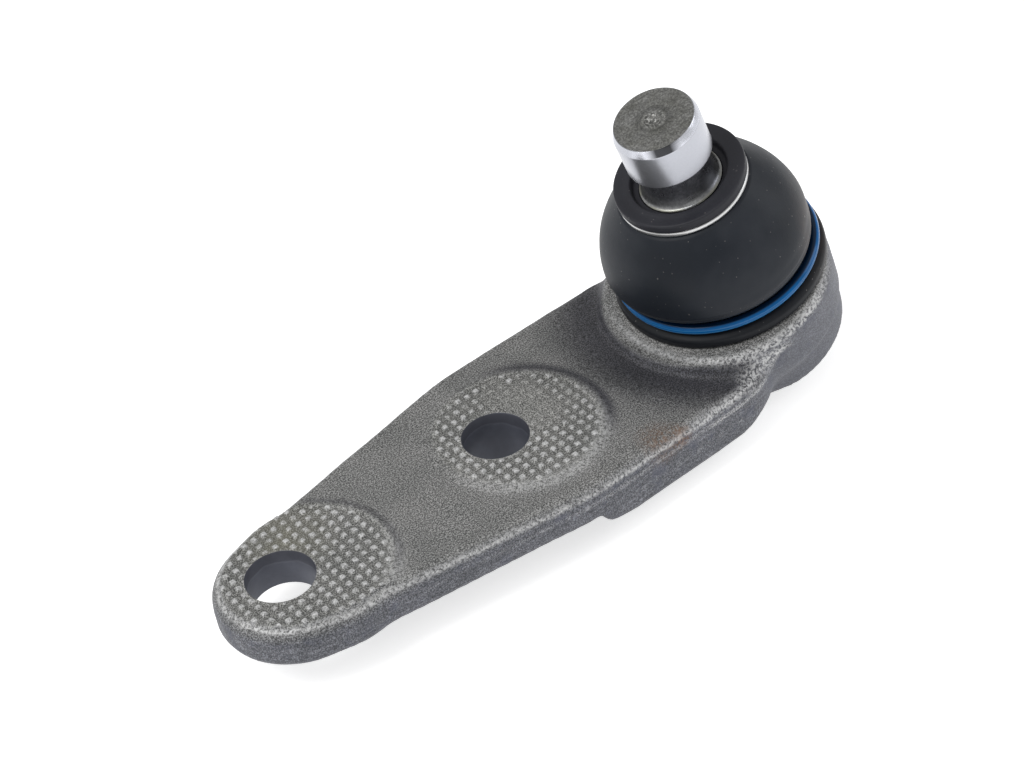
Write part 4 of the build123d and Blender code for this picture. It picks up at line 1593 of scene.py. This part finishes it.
def floor_material(settings):
    """Pale floor that reads white where no shadow falls."""
    material, tree, shader = new_material("floor")
    shader.inputs["Base Color"].default_value = (*settings.floor, 1)
    shader.inputs["Roughness"].default_value = 0.9
    path = add_node(tree, "ShaderNodeLightPath")
    seen = maths(tree, "MAXIMUM", path.outputs["Is Camera Ray"], path.outputs["Is Glossy Ray"])
    glow = add_node(tree, "ShaderNodeEmission", {"Color": (1, 1, 1, 1)})
    tree.links.new(times(tree, seen, FLOOR_GLOW), glow.inputs["Strength"])
    both = add_node(tree, "ShaderNodeAddShader", {0: shader.outputs["BSDF"], 1: glow.outputs[0]})
    end = next(node for node in tree.nodes if node.type == "OUTPUT_MATERIAL")
    tree.links.new(both.outputs[0], end.inputs["Surface"])
    return material


def white_world(settings):
    """Even soft light, seen as plain white."""
    world = bpy.data.worlds.new("Studio")
    world.use_nodes = True
    tree = world.node_tree
    tree.nodes.clear()
    path = add_node(tree, "ShaderNodeLightPath")
    seen = maths(tree, "MAXIMUM", path.outputs["Is Camera Ray"], path.outputs["Is Transmission Ray"])
    plain = add_node(tree, "ShaderNodeBackground", {"Color": (1, 1, 1, 1), "Strength": settings.sky})
    white = add_node(tree, "ShaderNodeBackground", {"Color": (1, 1, 1, 1), "Strength": 1.0})
    mix = add_node(tree, "ShaderNodeMixShader", {0: seen, 1: plain.outputs[0], 2: white.outputs[0]})
    end = tree.nodes.new("ShaderNodeOutputWorld")
    tree.links.new(mix.outputs[0], end.inputs["Surface"])
    bpy.context.scene.world = world


class JOINT_OT_stage(bpy.types.Operator):
    """Set up the floor, the soft light and the camera"""

    bl_idname = "joint.stage"
    bl_label = "Floor, Light and Camera"

    def execute(self, context):
        settings = context.scene.stage_settings
        ground = cad_box[0].z
        corners = ((-1, -1), (1, -1), (1, 1), (-1, 1))
        points = [(x * FLOOR_REACH, y * FLOOR_REACH, ground) for x, y in corners]
        floor = mesh_object("floor", points, [(0, 1, 2, 3)])
        dress(floor, floor_material(settings))
        white_world(settings)
        target = (0.04, 0.0, 0.01)
        area_light("key", (-0.45, 0.10, 0.75), target, (0.5, 0.5), settings.key_power, (1, 1, 1))
        area_light("side", (0.60, -0.35, 0.40), target, (0.35, 0.5), settings.rim_power, (0.97, 0.98, 1))
        lens = bpy.data.cameras.new("camera")
        lens.lens = settings.lens
        lens.sensor_width = 36.0
        lens.clip_start = 0.01
        camera = placed("camera", lens)
        look = (CAMERA_TARGET - CAMERA_PLACE).to_track_quat("-Z", "Y")
        camera.rotation_mode = "QUATERNION"
        camera.rotation_quaternion = look @ Quaternion((0, 0, 1), math.radians(CAMERA_ROLL))
        camera.location = CAMERA_PLACE
        context.scene.camera = camera
        context.scene.view_settings.view_transform = "Standard"
        return {"FINISHED"}


class JOINT_PT_panel(bpy.types.Panel):
    """Lists the pieces of the ball joint"""

    bl_idname = "JOINT_PT_panel"
    bl_label = "Ball Joint"
    bl_space_type = "VIEW_3D"
    bl_region_type = "UI"
    bl_category = "Ball Joint"

    def draw(self, context):
        for operator in OPERATORS:
            self.layout.operator(operator.bl_idname)
        for name in SETTINGS:
            group = getattr(context.scene, name)
            box = self.layout.box()
            for key in group.bl_rna.properties.keys():
                if key not in ("rna_type", "name"):
                    box.prop(group, key)


SETTINGS = {
    "forging_settings": ForgingSettings,
    "grip_settings": GripSettings,
    "pin_settings": PinSettings,
    "boot_settings": BootSettings,
    "ring_settings": RingSettings,
    "stage_settings": StageSettings,
}
OPERATORS = (
    JOINT_OT_node_groups, JOINT_OT_forged_arm, JOINT_OT_bearing, JOINT_OT_ball_pin,
    JOINT_OT_dust_boot, JOINT_OT_rings, JOINT_OT_stage,
)


def register():
    for name, group in SETTINGS.items():
        bpy.utils.register_class(group)
        setattr(bpy.types.Scene, name, PointerProperty(type=group))
    for operator in OPERATORS:
        bpy.utils.register_class(operator)
    bpy.utils.register_class(JOINT_PT_panel)


def unregister():
    bpy.utils.unregister_class(JOINT_PT_panel)
    for operator in reversed(OPERATORS):
        bpy.utils.unregister_class(operator)
    for name, group in SETTINGS.items():
        delattr(bpy.types.Scene, name)
        bpy.utils.unregister_class(group)


def main():
    """Build every piece and the stage."""
    register()
    bpy.ops.joint.node_groups()
    bpy.ops.joint.forged_arm()
    bpy.ops.joint.bearing()
    bpy.ops.joint.ball_pin()
    bpy.ops.joint.dust_boot()
    bpy.ops.joint.rings()
    bpy.ops.joint.stage()


if __name__ == "__main__":
    main()
